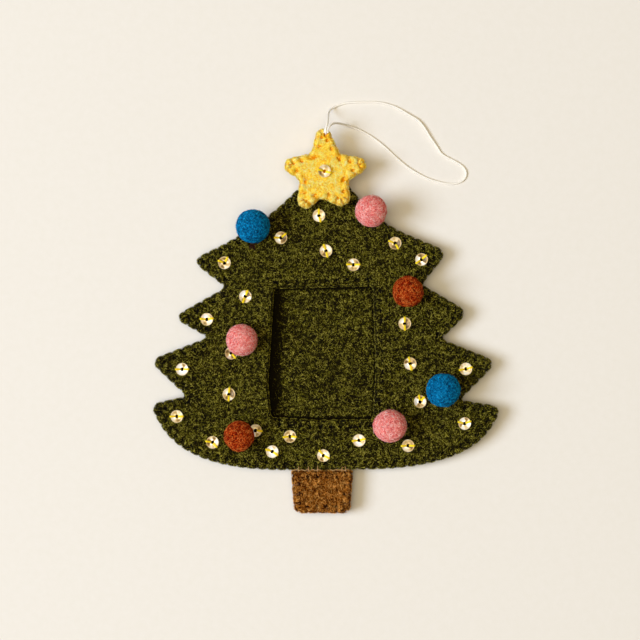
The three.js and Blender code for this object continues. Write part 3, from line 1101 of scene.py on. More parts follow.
    def face(self, flat: np.ndarray) -> np.ndarray:
        """The height of the sewn face over each point.

        Args:
            flat: Points in the plane.

        Returns:
            The heights.
        """
        distance, offset = self.nearest(flat)
        depth = self.depth(distance, offset) - self.waves(flat)
        depth = depth + self.dent * np.exp(-((self.away_from(flat, self.dents) / self.dent_radius) ** 4))
        if self.facing is Facing.UP:
            return self.high - depth + self.lifted(flat)
        return self.low + self.table_room + np.maximum(depth, 0)

    def seam(self, flat: np.ndarray) -> np.ndarray:
        """The height of the face that lies against the other layer.

        Args:
            flat: Points in the plane.

        Returns:
            The heights.
        """
        if self.facing is Facing.UP:
            return self.low - self.seam_overlap + self.lifted(flat)
        return self.high + self.seam_waviness * self.waves(flat) - self.press_sink * (1 - self.cover(flat))

    def within(self, flat: np.ndarray) -> np.ndarray:
        """Whether each point is on the felt.

        Args:
            flat: Points in the plane.

        Returns:
            True or False for each point.
        """
        on = inside(flat, self.rims[0].line)
        for rim in self.rims[1:]:
            on &= ~inside(flat, rim.line)
        return on

    def scattered(self, spacing: float, clear: float) -> np.ndarray:
        """Points all over the felt, on a shaken triangular grid.

        Args:
            spacing: The length of a triangle's side.
            clear: How far from the rims they stay.

        Returns:
            The points in the plane.
        """
        low, high = self.samples.min(axis=0), self.samples.max(axis=0)
        x, y = np.meshgrid(
            np.arange(low[0], high[0], spacing), np.arange(low[1], high[1], spacing * 0.866)
        )
        x = x + (np.arange(len(x)) % 2)[:, None] * spacing / 2
        flat = np.column_stack([x.ravel(), y.ravel()])
        flat += self.rng.uniform(-0.2, 0.2, flat.shape) * spacing
        flat = flat[self.within(flat)]
        return flat[self.nearest(flat)[0] > clear]

    def filled(self, rings: list[np.ndarray], extra: np.ndarray) -> tuple[np.ndarray, np.ndarray]:
        """Triangles that fill the area between rings, through extra points.

        Args:
            rings: The closed rings, the outer one first.
            extra: Points between them.

        Returns:
            The points, the rings' own first and in order, and the triangles, counterclockwise.
        """
        flat = np.vstack([*rings, extra])
        edges, start = [], 0
        for ring in rings:
            index = np.arange(start, start + len(ring))
            edges += np.column_stack([index, np.roll(index, -1)]).tolist()
            start += len(ring)
        outer = [list(range(len(rings[0])))]
        found = delaunay_2d_cdt([Vector(p) for p in flat.tolist()], edges, outer, 1, 1e-7)
        flat = np.array([tuple(p) for p in found[0]])
        triangles = np.array(found[2])
        middle = flat[triangles].mean(axis=1)
        for ring in rings[1:]:
            keep = ~inside(middle, ring)
            triangles, middle = triangles[keep], middle[keep]
        return flat, triangles

    def mesh(self) -> Surface:
        """The whole layer, closed: its sewn face, its side and its seam face.

        The side carries a bulged profile from the face's ring to the seam along each rim: the ring
        plus the inward direction times a sine bulge and a cubic tuck.

        Returns:
            The surface, with darker tints in the grooves as painted shade.
        """
        held = [self.sewn(np.zeros(len(rim.line)), rim.offset) for rim in self.rims]
        rings = [rim.inset(self.edge_back + self.draw * sewn) for rim, sewn in zip(self.rims, held)]
        flat, triangles = self.filled(rings, self.face_places(rings))
        up = self.facing is Facing.UP
        surface = Surface()
        faces = [triangles if up else triangles[:, ::-1]]
        surface.add(upright(flat, self.face(flat)), faces, self.face_tint(flat))
        seam_rings = []
        start = 0
        share = np.linspace(0, 1, self.side_steps)[:, None]
        for rim, ring, sewn in zip(self.rims, rings, held):
            top = self.face(flat[start : start + len(ring)])
            start += len(ring)
            shift = self.seam_tuck * share**3 - self.bulge * np.sin(np.pi * share) * (1 - 0.5 * sewn)
            rows = np.stack([rim.inset(row) for row in self.edge_back + self.draw * sewn + shift])
            height = top + (self.seam(rows[-1]) - top) * share
            quads = grid_quads(len(share), len(ring))
            points = np.concatenate([rows, height[..., None]], axis=-1).reshape(-1, 3)
            # The side is tinted darker where a stitch draws it in: painted shade in the dip.
            surface.add(points, [quads[:, ::-1] if up else quads], 0.5 - 0.25 * np.tile(sewn, len(share)))
            seam_rings.append(rows[-1])
        inner = np.empty((0, 2))
        if self.open_seam:
            inner = self.scattered(self.seam_grid, self.seam_clear)
            low, high = self.open_box()
            inner = inner[(inner > low).all(axis=1) & (inner < high).all(axis=1)]
        flat, triangles = self.filled(seam_rings, inner)
        surface.add(upright(flat, self.seam(flat)), [triangles[:, ::-1] if up else triangles], 0.5)
        return surface

    def face_places(self, rings: list[np.ndarray]) -> np.ndarray:
        """Where the sewn face has points: rows along the rims, a loose grid, and rings round the dents.

        Args:
            rings: Where the face ends at each rim.

        Returns:
            The points in the plane, without the rings' own.
        """
        places = []
        for rim, ring in zip(self.rims, rings):
            for step in self.rows_in:
                row = (ring + rim.inward * step)[:: 2 if step >= self.coarse_from else 1]
                row = row[self.within(row)]
                places.append(row[self.nearest(row)[0] > self.edge_back + 0.8 * step])
        spread = self.scattered(self.grid, self.edge_back + self.rows_in[-1] + 0.5 * self.grid)
        places.append(spread[self.away_from(spread, self.dents) > self.dent_clear])
        turn = np.linspace(0, 2 * np.pi, self.dent_sides, endpoint=False)
        for k, radius in enumerate(self.dent_rings):
            around = radius * np.column_stack([np.cos(turn), np.sin(turn)])[: 1 if k == 0 else None]
            places.append((self.dents[:, None] + around[None]).reshape(-1, 2))
        return np.vstack(places)

    def face_tint(self, flat: np.ndarray) -> np.ndarray:
        """The sewn face's tint, with painted shade: darker in the grooves, and darkest in needle holes and
        dents.

        Args:
            flat: Points in the plane.

        Returns:
            The tints.
        """
        distance, offset = self.nearest(flat)
        fade = 1 - smoothstep(*self.groove_fade, distance)
        tint = self.ground_tint - self.groove_painted_shade * self.sewn(distance, offset) * fade
        tint = np.where(self.from_hole(distance, offset) < self.hole_edge, self.hole_tint, tint)
        open_share = smoothstep(*self.dent_fade, self.away_from(flat, self.dents))
        return tint * open_share - self.hole_painted_shade * (tint < 0)

    def from_hole(self, distance: np.ndarray, offset: np.ndarray) -> np.ndarray:
        """How far a place is from the nearest needle hole, from its distance and offset at the rim."""
        return np.hypot(distance - self.reach, offset + self.slant * distance)

    def open_box(self) -> tuple[np.ndarray, np.ndarray]:
        """The low and high corners of the box round the part of the seam that shows, with a margin."""
        left, low, right, high = self.open_seam
        return np.array([left, low]) - self.open_margin, np.array([right, high]) + self.open_margin

    def nap_mesh(self) -> Surface:
        """Fibres that lie on the faces that show, and short hairs that stand off the side.

        Returns:
            The surface of all the fibres.
        """
        surface = Surface()
        sign = 1 if self.facing is Facing.UP else -1
        flat = self.random_places(self.fibres, self.samples.min(axis=0), self.samples.max(axis=0))
        self.lay(surface, flat, self.face, sign)
        if self.open_seam:
            low, high = self.open_box()
            count = int((high - low).prod() * self.seam_fibres)
            flat = self.random_places(count, low, high)
            self.lay(surface, flat, self.seam, -sign)
        for rim in self.rims:
            share_of_rim = rim.length / sum(one.length for one in self.rims)
            self.fringe(surface, rim, int(self.fuzz * share_of_rim))
        return surface

    def fringe(self, surface: Surface, rim: Rim, count: int) -> None:
        """Adds fibres along the side under a rim, where its bulged profile runs.

        Args:
            surface: What to add them to.
            rim: The rim.
            count: How many fibres.
        """
        pick = self.rng.integers(0, len(rim.line), count)
        pick = pick[np.abs(rim.offset[pick]) > self.fringe_clear]
        count = len(pick)
        share = self.rng.uniform(0.0, self.fringe_down, count)
        held = self.sewn(np.zeros(count), rim.offset[pick])
        inward = rim.inward[pick]
        back = self.edge_back - self.bulge * np.sin(np.pi * share) * (1 - 0.5 * held) + self.draw * held
        back = np.minimum(back, rim.most[pick])
        top = self.face(rim.line[pick] + inward * (self.edge_back + self.draw * held)[:, None])
        bottom = self.seam(rim.line[pick])
        base = upright(rim.line[pick] + inward * back[:, None], 0.0)
        base[:, 2] = top + (bottom - top) * share
        out = unit(upright(-inward, self.rng.uniform(*self.fringe_tilt, count)))
        # The side's hairs get a larger share of light fibres and a lighter tint: painted light, where light
        # shines through the fuzz.
        hairs = replace(
            self.nap,
            length=self.nap.length * 0.7,
            width=self.nap.width * 0.9,
            lift=0.15,
            curl=2.2,
            stand=0.2,
            light_share=self.nap.light_share + 0.1,
        )
        paths = hairs.paths(base, out, self.rng)
        paths[..., 2] = np.maximum(paths[..., 2], self.lowest_hair)
        hairs.grow(surface, paths, self.rng, self.fringe_painted_light)

    def cover(self, flat: np.ndarray) -> np.ndarray:
        """How much of the nap there is: less close to the rims that press on it, where lay paints the
        fibres darker as painted shade.
        """
        shares = [smoothstep(0.0, 1.0, self.away_from(flat, edge) / width) for edge, width in self.pressed]
        return np.min([np.ones(len(flat)), *shares], axis=0)

    def random_places(self, count: int, low: np.ndarray, high: np.ndarray) -> np.ndarray:
        """So many random points in a box, of which those on the felt are kept."""
        flat = self.rng.uniform(low, high, (count, 2))
        return flat[self.within(flat)]

    def lay(
        self, surface: Surface, flat: np.ndarray, height: Callable[[np.ndarray], np.ndarray], sign: int
    ) -> None:
        """Lays fibres on a face, more, higher and lighter ones where the wool forms a tuft; the lighter
        tint is partly the wool's own tone and partly painted light on the raised tufts.

        A fibre is laid in the plane first, and then each of its points goes to the face's height.

        Args:
            surface: What to add the fibres to.
            flat: Where they start.
            height: Gives the face's height at points in the plane.
            sign: 1 for a face that looks up and -1 for one that looks down.
        """
        tuft = soft_noise(upright(flat, 0.0), self.tuft, self.seed + 5)
        flat = flat[self.rng.random(len(flat)) < self.nap_share + self.tuft_share * tuft]
        up = np.tile([0.0, 0.0, 1.0], (len(flat), 1))
        path = self.nap.paths(upright(flat, 0.0), up, self.rng)
        path = path[self.within(path[:, -1, :2]) & self.within(path[:, 2, :2])]

        # Where the felt stays bare: round dents, in needle holes and in the stitches' grooves.
        clear = self.away_from(path[..., :2].reshape(-1, 2), self.dents).reshape(path.shape[:2]).min(axis=1)
        distance, offset = self.nearest(path[:, 1, :2])
        groove = np.abs(offset + self.slant * distance)
        bare = (clear <= self.dent_bare) | (self.from_hole(distance, offset) <= self.hole_radius)
        bare |= (groove <= self.groove_clear) & (distance <= self.reach)
        path = path[~bare]
        path = path[self.rng.random(len(path)) < self.cover(path[:, 1, :2])]

        tuft = soft_noise(upright(path[:, 1, :2], 0.0), self.tuft, self.seed + 5)
        below = height(path[..., :2].reshape(-1, 2)).reshape(path.shape[:2])
        lift = path[..., 2] + self.tuft_lift * tuft[:, None]
        path[..., 2] = np.maximum(below + sign * lift, self.lowest_fibre)
        # Painted shade: fibres near the edges that press on this face are tinted darker.
        shade = self.rim_painted_shade * (1 - self.cover(path[:, 1, :2]))
        self.nap.grow(surface, path, self.rng, self.tuft_tint * tuft - shade)

    def dress(self) -> None:
        """Makes the felt and its fibres, and hands them to the frame."""
        felt = self.mesh().build(self.name, self.finish.material())
        weld(felt)
        wool = self.finish.fibre_material()
        naps = [self.nap_mesh().build(f"{self.name}_nap_{k + 1}", wool) for k in range(self.nap_layers)]
        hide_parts(self.node)
        hand_over(self.finish.slot, felt, *naps)
        area = abs(sum(doubled_area(rim.line) for rim in self.rims)) / 2 * MM**2


def box_of(node: str) -> tuple[np.ndarray, np.ndarray]:
    """The low and high corners of a CAD node's box, in millimetres."""
    low, high = (np.array(corner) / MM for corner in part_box(node))
    return low, high


def middle_of(node: str) -> tuple[float, float]:
    """The middle of a CAD node seen from above, in millimetres."""
    low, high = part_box(node)
    return (low.x + high.x) / 2 / MM, (low.y + high.y) / 2 / MM


def weld(piece: bpy.types.Object) -> None:
    """Joins the points of a piece that lie in the same place, and turns its faces outwards.

    Args:
        piece: The piece, whose mesh is changed.
    """
    work = bmesh.new()
    work.from_mesh(piece.data)
    bmesh.ops.remove_doubles(work, verts=work.verts, dist=2e-7)
    bmesh.ops.recalc_face_normals(work, faces=work.faces)
    work.to_mesh(piece.data)
    work.free()


@dataclass
class Sewing:
    """Overcast stitches: each comes up through the felt, runs over the edge and goes in again."""

    name: str
    finish: ThreadFinish
    radius: float
    slant: float = 0.22
    sides: int = 7
    wind_step: float = 0.9
    proud: float = 0.25
    groove_stops: tuple[float, ...] = (1.8, 1.2, 0.75)
    dive: float = 0.9
    side_room: float = 0.22
    side_wave: float = 0.1
    side_drop: float = 0.7
    window_fall: tuple[tuple[float, float], ...] = ((0.85, 6.2), (0.9, 5.0), (1.0, 4.1), (1.1, 3.6))
    threads: Surface = field(default_factory=Surface)

    def in_groove(self, layer: FeltLayer, sign: int) -> list[tuple[float, float]]:
        """How a thread runs out of a layer's needle hole and along its groove to the edge.

        Args:
            layer: The felt layer.
            sign: -1 where the hole goes down from the groove and 1 where it goes up.

        Returns:
            Distance in from the rim and height, point by point.
        """
        inward = [layer.reach - 0.15, *self.groove_stops]
        heights = layer.groove_heights(inward, self.proud * self.radius)
        return [(layer.reach + 0.05, heights[0] + sign * self.dive), *zip(inward, heights)]

    def round_edge(self, front: FeltLayer, back: FeltLayer) -> list[tuple[float, float]]:
        """How a thread runs from the face's needle hole, round the edge, to the hole at the back.

        Args:
            front: The felt layer above.
            back: The one below.

        Returns:
            Distance in from the rim and height, point by point.
        """
        above, below = self.in_groove(front, -1), self.in_groove(back, 1)
        side = front.edge_back + self.side_room
        wave = side + self.side_wave
        middle = (front.low + back.high) / 2
        path = [*above, (wave, above[-1][1] - self.side_drop), (side, middle + 1.0), (wave, middle)]
        return [*path, (side, middle - 1.0), (wave, below[-1][1] + self.side_drop), *below[::-1]]

    def into_window(self, front: FeltLayer) -> list[tuple[float, float]]:
        """How a thread runs from the window's needle hole over the edge down to the back panel.

        Args:
            front: The felt layer with the window.

        Returns:
            Distance in from the rim and height, point by point.
        """
        above = self.in_groove(front, -1)
        return [*above, (0.8, above[-1][1] - self.side_drop), *self.window_fall]

    def over_edge(self, rim: Rim, profile: list[tuple[float, float]]) -> None:
        """Adds a stitch at each of a rim's stitch places.

        Args:
            rim: The edge.
            profile: Distance in from the rim and height, point by point along the thread.
        """
        inward, height = np.array(profile).T
        place = rim.line[rim.stitches][:, None]
        into = rim.inward[rim.stitches][:, None]
        forward = rim.forward[rim.stitches][:, None]
        flat = place + into * inward[None, :, None] - forward * (self.slant * inward)[None, :, None]
        self.thread(raised(flat, height), 4 * len(height))

    def thread(self, paths: np.ndarray, steps: int) -> None:
        """Adds smooth twisted threads, with a tint that winds round like their strands, darker between the
        strands as painted shade.

        Args:
            paths: What they follow: threads, points, three.
            steps: How many circles each thread gets.
        """
        smooth = np.stack([open_curve(path, steps) for path in paths])
        angle = np.arange(self.sides) * 2 * np.pi / self.sides
        wind = np.arange(steps)[:, None] * self.wind_step
        lobes = np.cos(2 * angle - wind)
        radius = self.radius * (1 + 0.1 * lobes)
        points, faces = tubes(smooth, np.broadcast_to(radius, (len(paths), steps, self.sides)), self.sides)
        # Painted shade: the tint is lowest in the grooves between strands.
        self.threads.add(points, faces, np.tile((0.5 + 0.35 * lobes).ravel(), len(paths)))

    def dress(self) -> None:
        """Makes the threads as one piece."""
        made = self.threads.build(self.name, self.finish.material())
        hand_over(self.finish.slot, made)


@dataclass
class WoolBall:
    """A felted wool ball, sewn down so that its base is pressed flat."""

    node: str
    finish: WoolFinish
    seed: int
    rows: int = 40
    columns: int = 72
    lumps: float = 0.22
    sink: float = 0.5
    fibres: int = 3400
    nap: Nap = Nap(length=1.7, width=0.18, lift=0.1, curl=1.8, light_share=0.33)
    wrap_radius: float = 6.2
    hair: Nap = Nap(length=1.1, width=0.1, lift=0.1, curl=2.0, stand=0.35, light_share=0.4)
    fibres_to_a_hair: int = 5

    def surface_points(self, direction: np.ndarray) -> np.ndarray:
        """Points on the ball: a sphere with two sizes of noise, cut flat below.

        Args:
            direction: Where they lie, as directions from the ball's centre.

        Returns:
            The points.
        """
        low, high = box_of(self.node)
        radius = (high[0] - low[0] + high[1] - low[1]) / 4
        centre = np.array([(low[0] + high[0]) / 2, (low[1] + high[1]) / 2, high[2] - radius])
        wide = soft_noise(direction * radius, 5.0, self.seed)
        fine = soft_noise(direction * radius, 1.3, self.seed + 1)
        points = centre + direction * (radius + self.lumps * wide + 0.35 * self.lumps * fine)[:, None]
        points[:, 2] = np.maximum(points[:, 2], low[2] - self.sink)
        return points

    def mesh(self) -> Surface:
        """The ball: rows of latitude and columns of longitude, with one point at each pole.

        Returns:
            The closed surface.
        """
        polar = np.linspace(0, np.pi, self.rows + 1)[1:-1, None]
        around = (np.arange(self.columns) * 2 * np.pi / self.columns)[None]
        direction = np.stack(
            [np.sin(polar) * np.cos(around), np.sin(polar) * np.sin(around), np.cos(polar) + 0 * around], -1
        ).reshape(-1, 3)
        direction = np.vstack([direction, [[0, 0, 1], [0, 0, -1]]])
        count = len(direction)
        ring = np.arange(self.columns)
        after = (ring + 1) % self.columns
        last = (self.rows - 2) * self.columns
        quads = grid_quads(self.rows - 1, self.columns)[:, ::-1]
        top = np.column_stack([ring, after, np.full(self.columns, count - 2)])
        base = np.column_stack([after + last, ring + last, np.full(self.columns, count - 1)])
        tint = 0.5 + 0.45 * soft_noise(direction * 6.0, 2.6, self.seed + 2)
        surface = Surface()
        surface.add(self.surface_points(direction), [quads, top, base], tint)
        return surface

    def dress(self) -> None:
        """Makes the ball and the fibres that wrap it."""
        rng = np.random.default_rng(self.seed)
        ball = self.mesh().build(self.node.replace("ball", "wool_ball"), self.finish.material())
        direction = unit(rng.normal(size=(self.fibres, 3)) + [0, 0, 0.4])
        paths = self.nap.paths(direction * self.wrap_radius, direction, rng)
        reach = np.linalg.norm(paths, axis=-1, keepdims=True)
        spread = self.surface_points(unit(paths).reshape(-1, 3)).reshape(paths.shape)
        lifted = spread + unit(paths) * np.clip((reach - self.wrap_radius) * 0.2, 0.02, 0.2)
        fibres = Surface()
        self.nap.grow(fibres, lifted, rng)
        out = unit(rng.normal(size=(self.fibres // self.fibres_to_a_hair, 3)) + [0, 0, 0.5])
        self.hair.grow(fibres, self.hair.paths(self.surface_points(out), out, rng), rng)
        nap = fibres.build(ball.name + "_nap", self.finish.fibre_material())
        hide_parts(self.node)
        hand_over(self.finish.slot, ball, nap)


@dataclass
class Sequin:
    """A faceted cup sequin of thin film: a hole, a flat bottom and a sloping wall."""

    node: str
    seed: int
    sides: int = 16
    hole: float = 0.74
    bottom: float = 1.15
    highlight_bearing: float = 200.0
    paleness: float = 0.58
    highlight_swing: float = 0.24
    unevenness: tuple[float, float] = (-0.4, 0.36)
    dark_reflection_share: float = 0.26
    dark_reflection: float = -0.6
    grain: float = 0.08
    film: float = 0.09
    strand_gap: float = 0.36
    lean: tuple[float, float] = (0.0, 0.0)
    lower: float = 0.15

    def mesh(self) -> Surface:
        """Rings from the hole to the rim above, and back to the hole below, closed into a loop.

        Every second point of the wall's middle ring is turned half a step and lifted, which gives
        the wall two rows of facets. The whole cup leans by a little.

        Returns:
            The surface with a tint for each facet.
        """
        low, high = box_of(self.node)
        rng = np.random.default_rng(self.seed)
        outer = (high[0] - low[0]) / 2
        rise = high[2] - low[2] - self.film
        rings = [(self.hole, 0.06), (self.bottom, 0.0), (0.5 * (outer + self.bottom), 0.42), (outer, 1.0)]
        shape = [(r, self.film + rise * z) for r, z in rings] + [(r, rise * z) for r, z in rings[::-1]]
        radius, height = np.array(shape).T
        step = 2 * np.pi / self.sides
        turn = np.array([0.0, 0.0, 0.5, 0.0, 0.0, 0.5, 0.0, 0.0])[:, None]
        angle = (np.arange(self.sides)[None] + turn) * step
        x, y = radius[:, None] * np.cos(angle), radius[:, None] * np.sin(angle)
        z = height[:, None] + self.lean[0] * x + self.lean[1] * y
        centre = (low + high) / 2
        points = np.stack([x + centre[0], y + centre[1], z + low[2] - self.lower], axis=-1).reshape(-1, 3)
        quads = grid_quads(len(shape), self.sides)
        column = np.arange(self.sides)
        after = (column + 1) % self.sides
        last = (len(shape) - 1) * self.sides
        closing = np.column_stack([last + column, last + after, after, column])
        quads = np.vstack([quads, closing])
        # Each facet's tint is a painted reflection: paler towards one bearing as a painted highlight, some
        # facets painted dark, with random unevenness.
        middle = (np.arange(self.sides) + 0.5) * step - np.radians(self.highlight_bearing)
        sectors = rng.uniform(*self.unevenness, self.sides // 2)
        sectors = np.where(rng.random(len(sectors)) < self.dark_reflection_share, self.dark_reflection, sectors)
        row = self.paleness + self.highlight_swing * np.cos(middle) + np.repeat(sectors, 2)
        facets = np.concatenate([row - 0.06, row, row + np.repeat(rng.uniform(-0.2, 0.2, len(sectors)), 2)])
        tint = np.concatenate([facets, np.full(len(quads) - len(facets), 0.5)])
        surface = Surface()
        surface.add(points, [quads], np.clip(tint + rng.normal(0, self.grain, len(tint)), 0, 1))
        return surface

    def dress(self, finish: SequinFinish, material: bpy.types.Material) -> None:
        """Makes the sequin in place of its CAD node.

        Args:
            finish: What the sequin is made of.
            material: That finish's material, which all sequins share.
        """
        made = self.mesh().build("cup_" + self.node, material, smooth=False)
        weld(made)
        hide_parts(self.node)
        hand_over(finish.slot, made)

    def threads(self, directions: list[float]) -> np.ndarray:
        """Paths of the threads from the hole over the rim into the felt.

        Args:
            directions: The bearing of each pair of strands, in degrees from +X.

        Returns:
            Points: strands, points, three.
        """
        low, high = box_of(self.node)
        centre = (low + high) / 2
        outer = (high[0] - low[0]) / 2
        base = low[2] - self.lower
        # Distance from the middle and height over the base, from under the hole over the rim.
        profile = [(0.6, -0.8), (0.66, -0.1), (0.95, 0.35), (1.6, 0.75), (outer - 0.15, 1.15)]
        profile += [(outer + 0.1, 0.95), (outer + 0.16, 0.2), (outer + 0.12, -0.7)]
        away, height = np.array(profile).T
        turns = np.repeat(np.radians(directions), 2)
        aside = np.tile([-1.0, 1.0], len(directions)) * self.strand_gap / 2
        ahead = np.stack([np.cos(turns), np.sin(turns)], axis=1)[:, None]
        beside = np.stack([-np.sin(turns), np.cos(turns)], axis=1)[:, None] * aside[:, None, None]
        flat = centre[:2] + ahead * away[None, :, None] + beside
        return raised(flat, height + base)


SEQUIN_THREADS: dict[str, list[float]] = {
    "sequin_01": [90, -75],
    "sequin_02": [178, 40],
    "sequin_03": [110, -76],
    "sequin_04": [177, 2],
    "sequin_05": [160, 60],
    "sequin_06": [160, -60],
    "sequin_07": [40, -145],
    "sequin_08": [68, -112],
    "sequin_09": [175, 8],
    "sequin_10": [90, -88],
    "sequin_11": [180, 0],
    "sequin_12": [85, -92],
    "sequin_13": [180, 0],
    "sequin_14": [102, -78],
    "sequin_15": [190, 14],
    "sequin_16": [100, 48],
    "sequin_17": [165, 20],
    "sequin_18": [170, -48],
    "sequin_19": [160, -33],
    "sequin_20": [186, -4],
    "sequin_21": [128, -25],
    "sequin_22": [184, 14],
    "sequin_23": [182, 0],
    "sequin_24": [-50],
    "sequin_25": [-6],
    "star_sequin": [165, -15],
}

# How pale each sequin's facets are, their painted reflection, where it isn't the usual amount.
SEQUIN_PALENESS: dict[str, float] = {
    "sequin_04": 0.5,
    "sequin_06": 0.5,
    "sequin_10": 0.42,
    "sequin_11": 1.0,
    "sequin_12": 0.45,
    "sequin_13": 0.7,
    "sequin_24": 0.3,
}

BALLS: dict[str, WoolFinish] = {
    "ball_blue_upper": BLUE_WOOL,
    "ball_blue_lower": BLUE_WOOL,
    "ball_pink_upper": PINK_WOOL,
    "ball_pink_left": PINK_WOOL,
    "ball_pink_lower": PINK_WOOL,
    "ball_rust_right": RUST_WOOL,
    "ball_rust_left": RUST_WOOL,
}

# Where threads come out below a ball, in degrees from +X.
BALL_THREADS: dict[str, list[float]] = {
    "ball_blue_upper": [-99.0, -94.5, -90.0, -86.0],
    "ball_rust_right": [-130.0],
}


@dataclass
class HangingCord:
    """A thin two-ply cord from the star's tip and back to it, lying as a loop on the table."""

    node: str = "hanging_cord"
    diameter: float = 0.8
    lay_length: float = 2.1
    sides: int = 12
    route: tuple[tuple[float, float, float], ...] = (
        (-0.47, 73.8, 13.5), (-0.12, 75.05, 13.5), (0.5, 76.5, 13.1), (0.87, 78.4, 11.2),
        (1.0, 80.6, 7.6), (1.25, 82.5, 4.2), (2.2, 84.0, 1.9), (3.9, 85.2, 0.8),
        (6.4, 86.2, 0.45), (10.3, 86.9, 0.45), (19.9, 87.0, 0.45), (25.0, 86.05, 0.5),
        (29.0, 84.5, 0.6), (33.4, 81.9, 0.8), (36.9, 79.7, 0.9), (39.3, 76.9, 0.9),
        (41.6, 73.2, 0.8), (44.2, 69.4, 0.6), (46.6, 66.2, 0.45), (51.3, 63.6, 0.45),
        (54.3, 61.7, 0.45), (55.8, 59.5, 0.45), (55.5, 57.0, 0.45), (53.1, 55.1, 0.45),
        (49.2, 54.5, 0.45), (44.6, 55.4, 0.45), (39.3, 57.3, 0.45), (33.4, 60.7, 0.45),
        (29.0, 64.2, 0.45), (23.4, 69.4, 0.45), (18.4, 73.2, 0.45), (14.2, 75.6, 0.5),
        (11.0, 76.95, 1.0), (8.3, 77.75, 2.8), (6.0, 78.05, 6.0), (4.2, 78.0, 9.2),
        (2.7, 77.5, 11.8), (1.4, 76.2, 13.3), (0.95, 74.9, 13.55), (0.9, 73.8, 13.5),
    )  # fmt: skip
    stitch_route: tuple[tuple[float, float, float], ...] = (
        (0.2, 76.1, 12.4), (0.2, 75.7, 13.5), (0.2, 74.8, 13.9), (0.2, 73.95, 13.6), (0.2, 73.6, 12.4),
    )  # fmt: skip
    stitch_radius: float = 0.42
    stitch_steps: int = 24
    hair: Nap = Nap(length=0.7, width=0.05, lift=0.05, curl=2.0, stand=0.2, light_share=0.8)
    hairs: int = 500
    lowest_hair: float = 0.05
    seed: int = 71

    def mesh(self, path: np.ndarray) -> Surface:
        """The cord: a tube whose cross-section has two lobes that wind along it.

        The radius is half the diameter times 1.02 plus 0.05 times the cosine of twice the angle
        less the winding, a full turn for each lay length.

        Args:
            path: The centreline, evenly spaced.

        Returns:
            The surface, darker between the plies as painted shade.
        """
        steps = np.linalg.norm(np.diff(path, axis=0), axis=1)
        wind = 2 * np.pi * np.concatenate([[0], np.cumsum(steps)]) / self.lay_length
        angle = np.arange(self.sides) * 2 * np.pi / self.sides
        lobes = np.cos(2 * (angle[None] - wind[:, None]))
        radius = self.diameter / 2 * (1.02 + 0.05 * lobes)
        points, faces = tubes(path[None], radius[None], self.sides, np.array([[[0.0, 0.0, 1.0]]]))
        surface = Surface()
        # Painted shade: the tint is lowest between the plies.
        surface.add(points, faces, (0.6 + 0.2 * lobes).ravel())
        return surface

    def stitch(self) -> Surface:
        """The middle strand of the stitch that holds both ends on the star's tip.

        Returns:
            The surface.
        """
        path = open_curve(np.array(self.stitch_route), self.stitch_steps)
        points, faces = tubes(path[None], np.full((1, self.stitch_steps), self.stitch_radius), 10)
        surface = Surface()
        surface.add(points, faces, 0.7)
        return surface

    def fluff(self, path: np.ndarray) -> Surface:
        """Fine hairs that stand off the cord.

        Args:
            path: The cord's centreline.

        Returns:
            The surface of all the hairs.
        """
        rng = np.random.default_rng(self.seed)
        pick = rng.integers(0, len(path), self.hairs)
        out = unit(rng.normal(size=(self.hairs, 3)))
        paths = self.hair.paths(path[pick] + out * 0.3, out, rng)
        paths[..., 2] = np.maximum(paths[..., 2], self.lowest_hair)
        surface = Surface()
        self.hair.grow(surface, paths, rng)
        return surface

    def dress(self) -> None:
        route = np.array(self.route)
        path = open_curve(route, 720)
        length = float(np.linalg.norm(np.diff(path, axis=0), axis=1).sum())
        cord = self.mesh(path).build("cord", CORD_YARN.material())
        fluff = self.fluff(path).build("cord_fluff", CORD_YARN.material())
        stitch = self.stitch().build("cord_stitch", CORD_YARN.material())
        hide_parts(self.node)
        hand_over(CORD_YARN.slot, cord, fluff, stitch)
        log.info("cord: %.1f mm long", length)


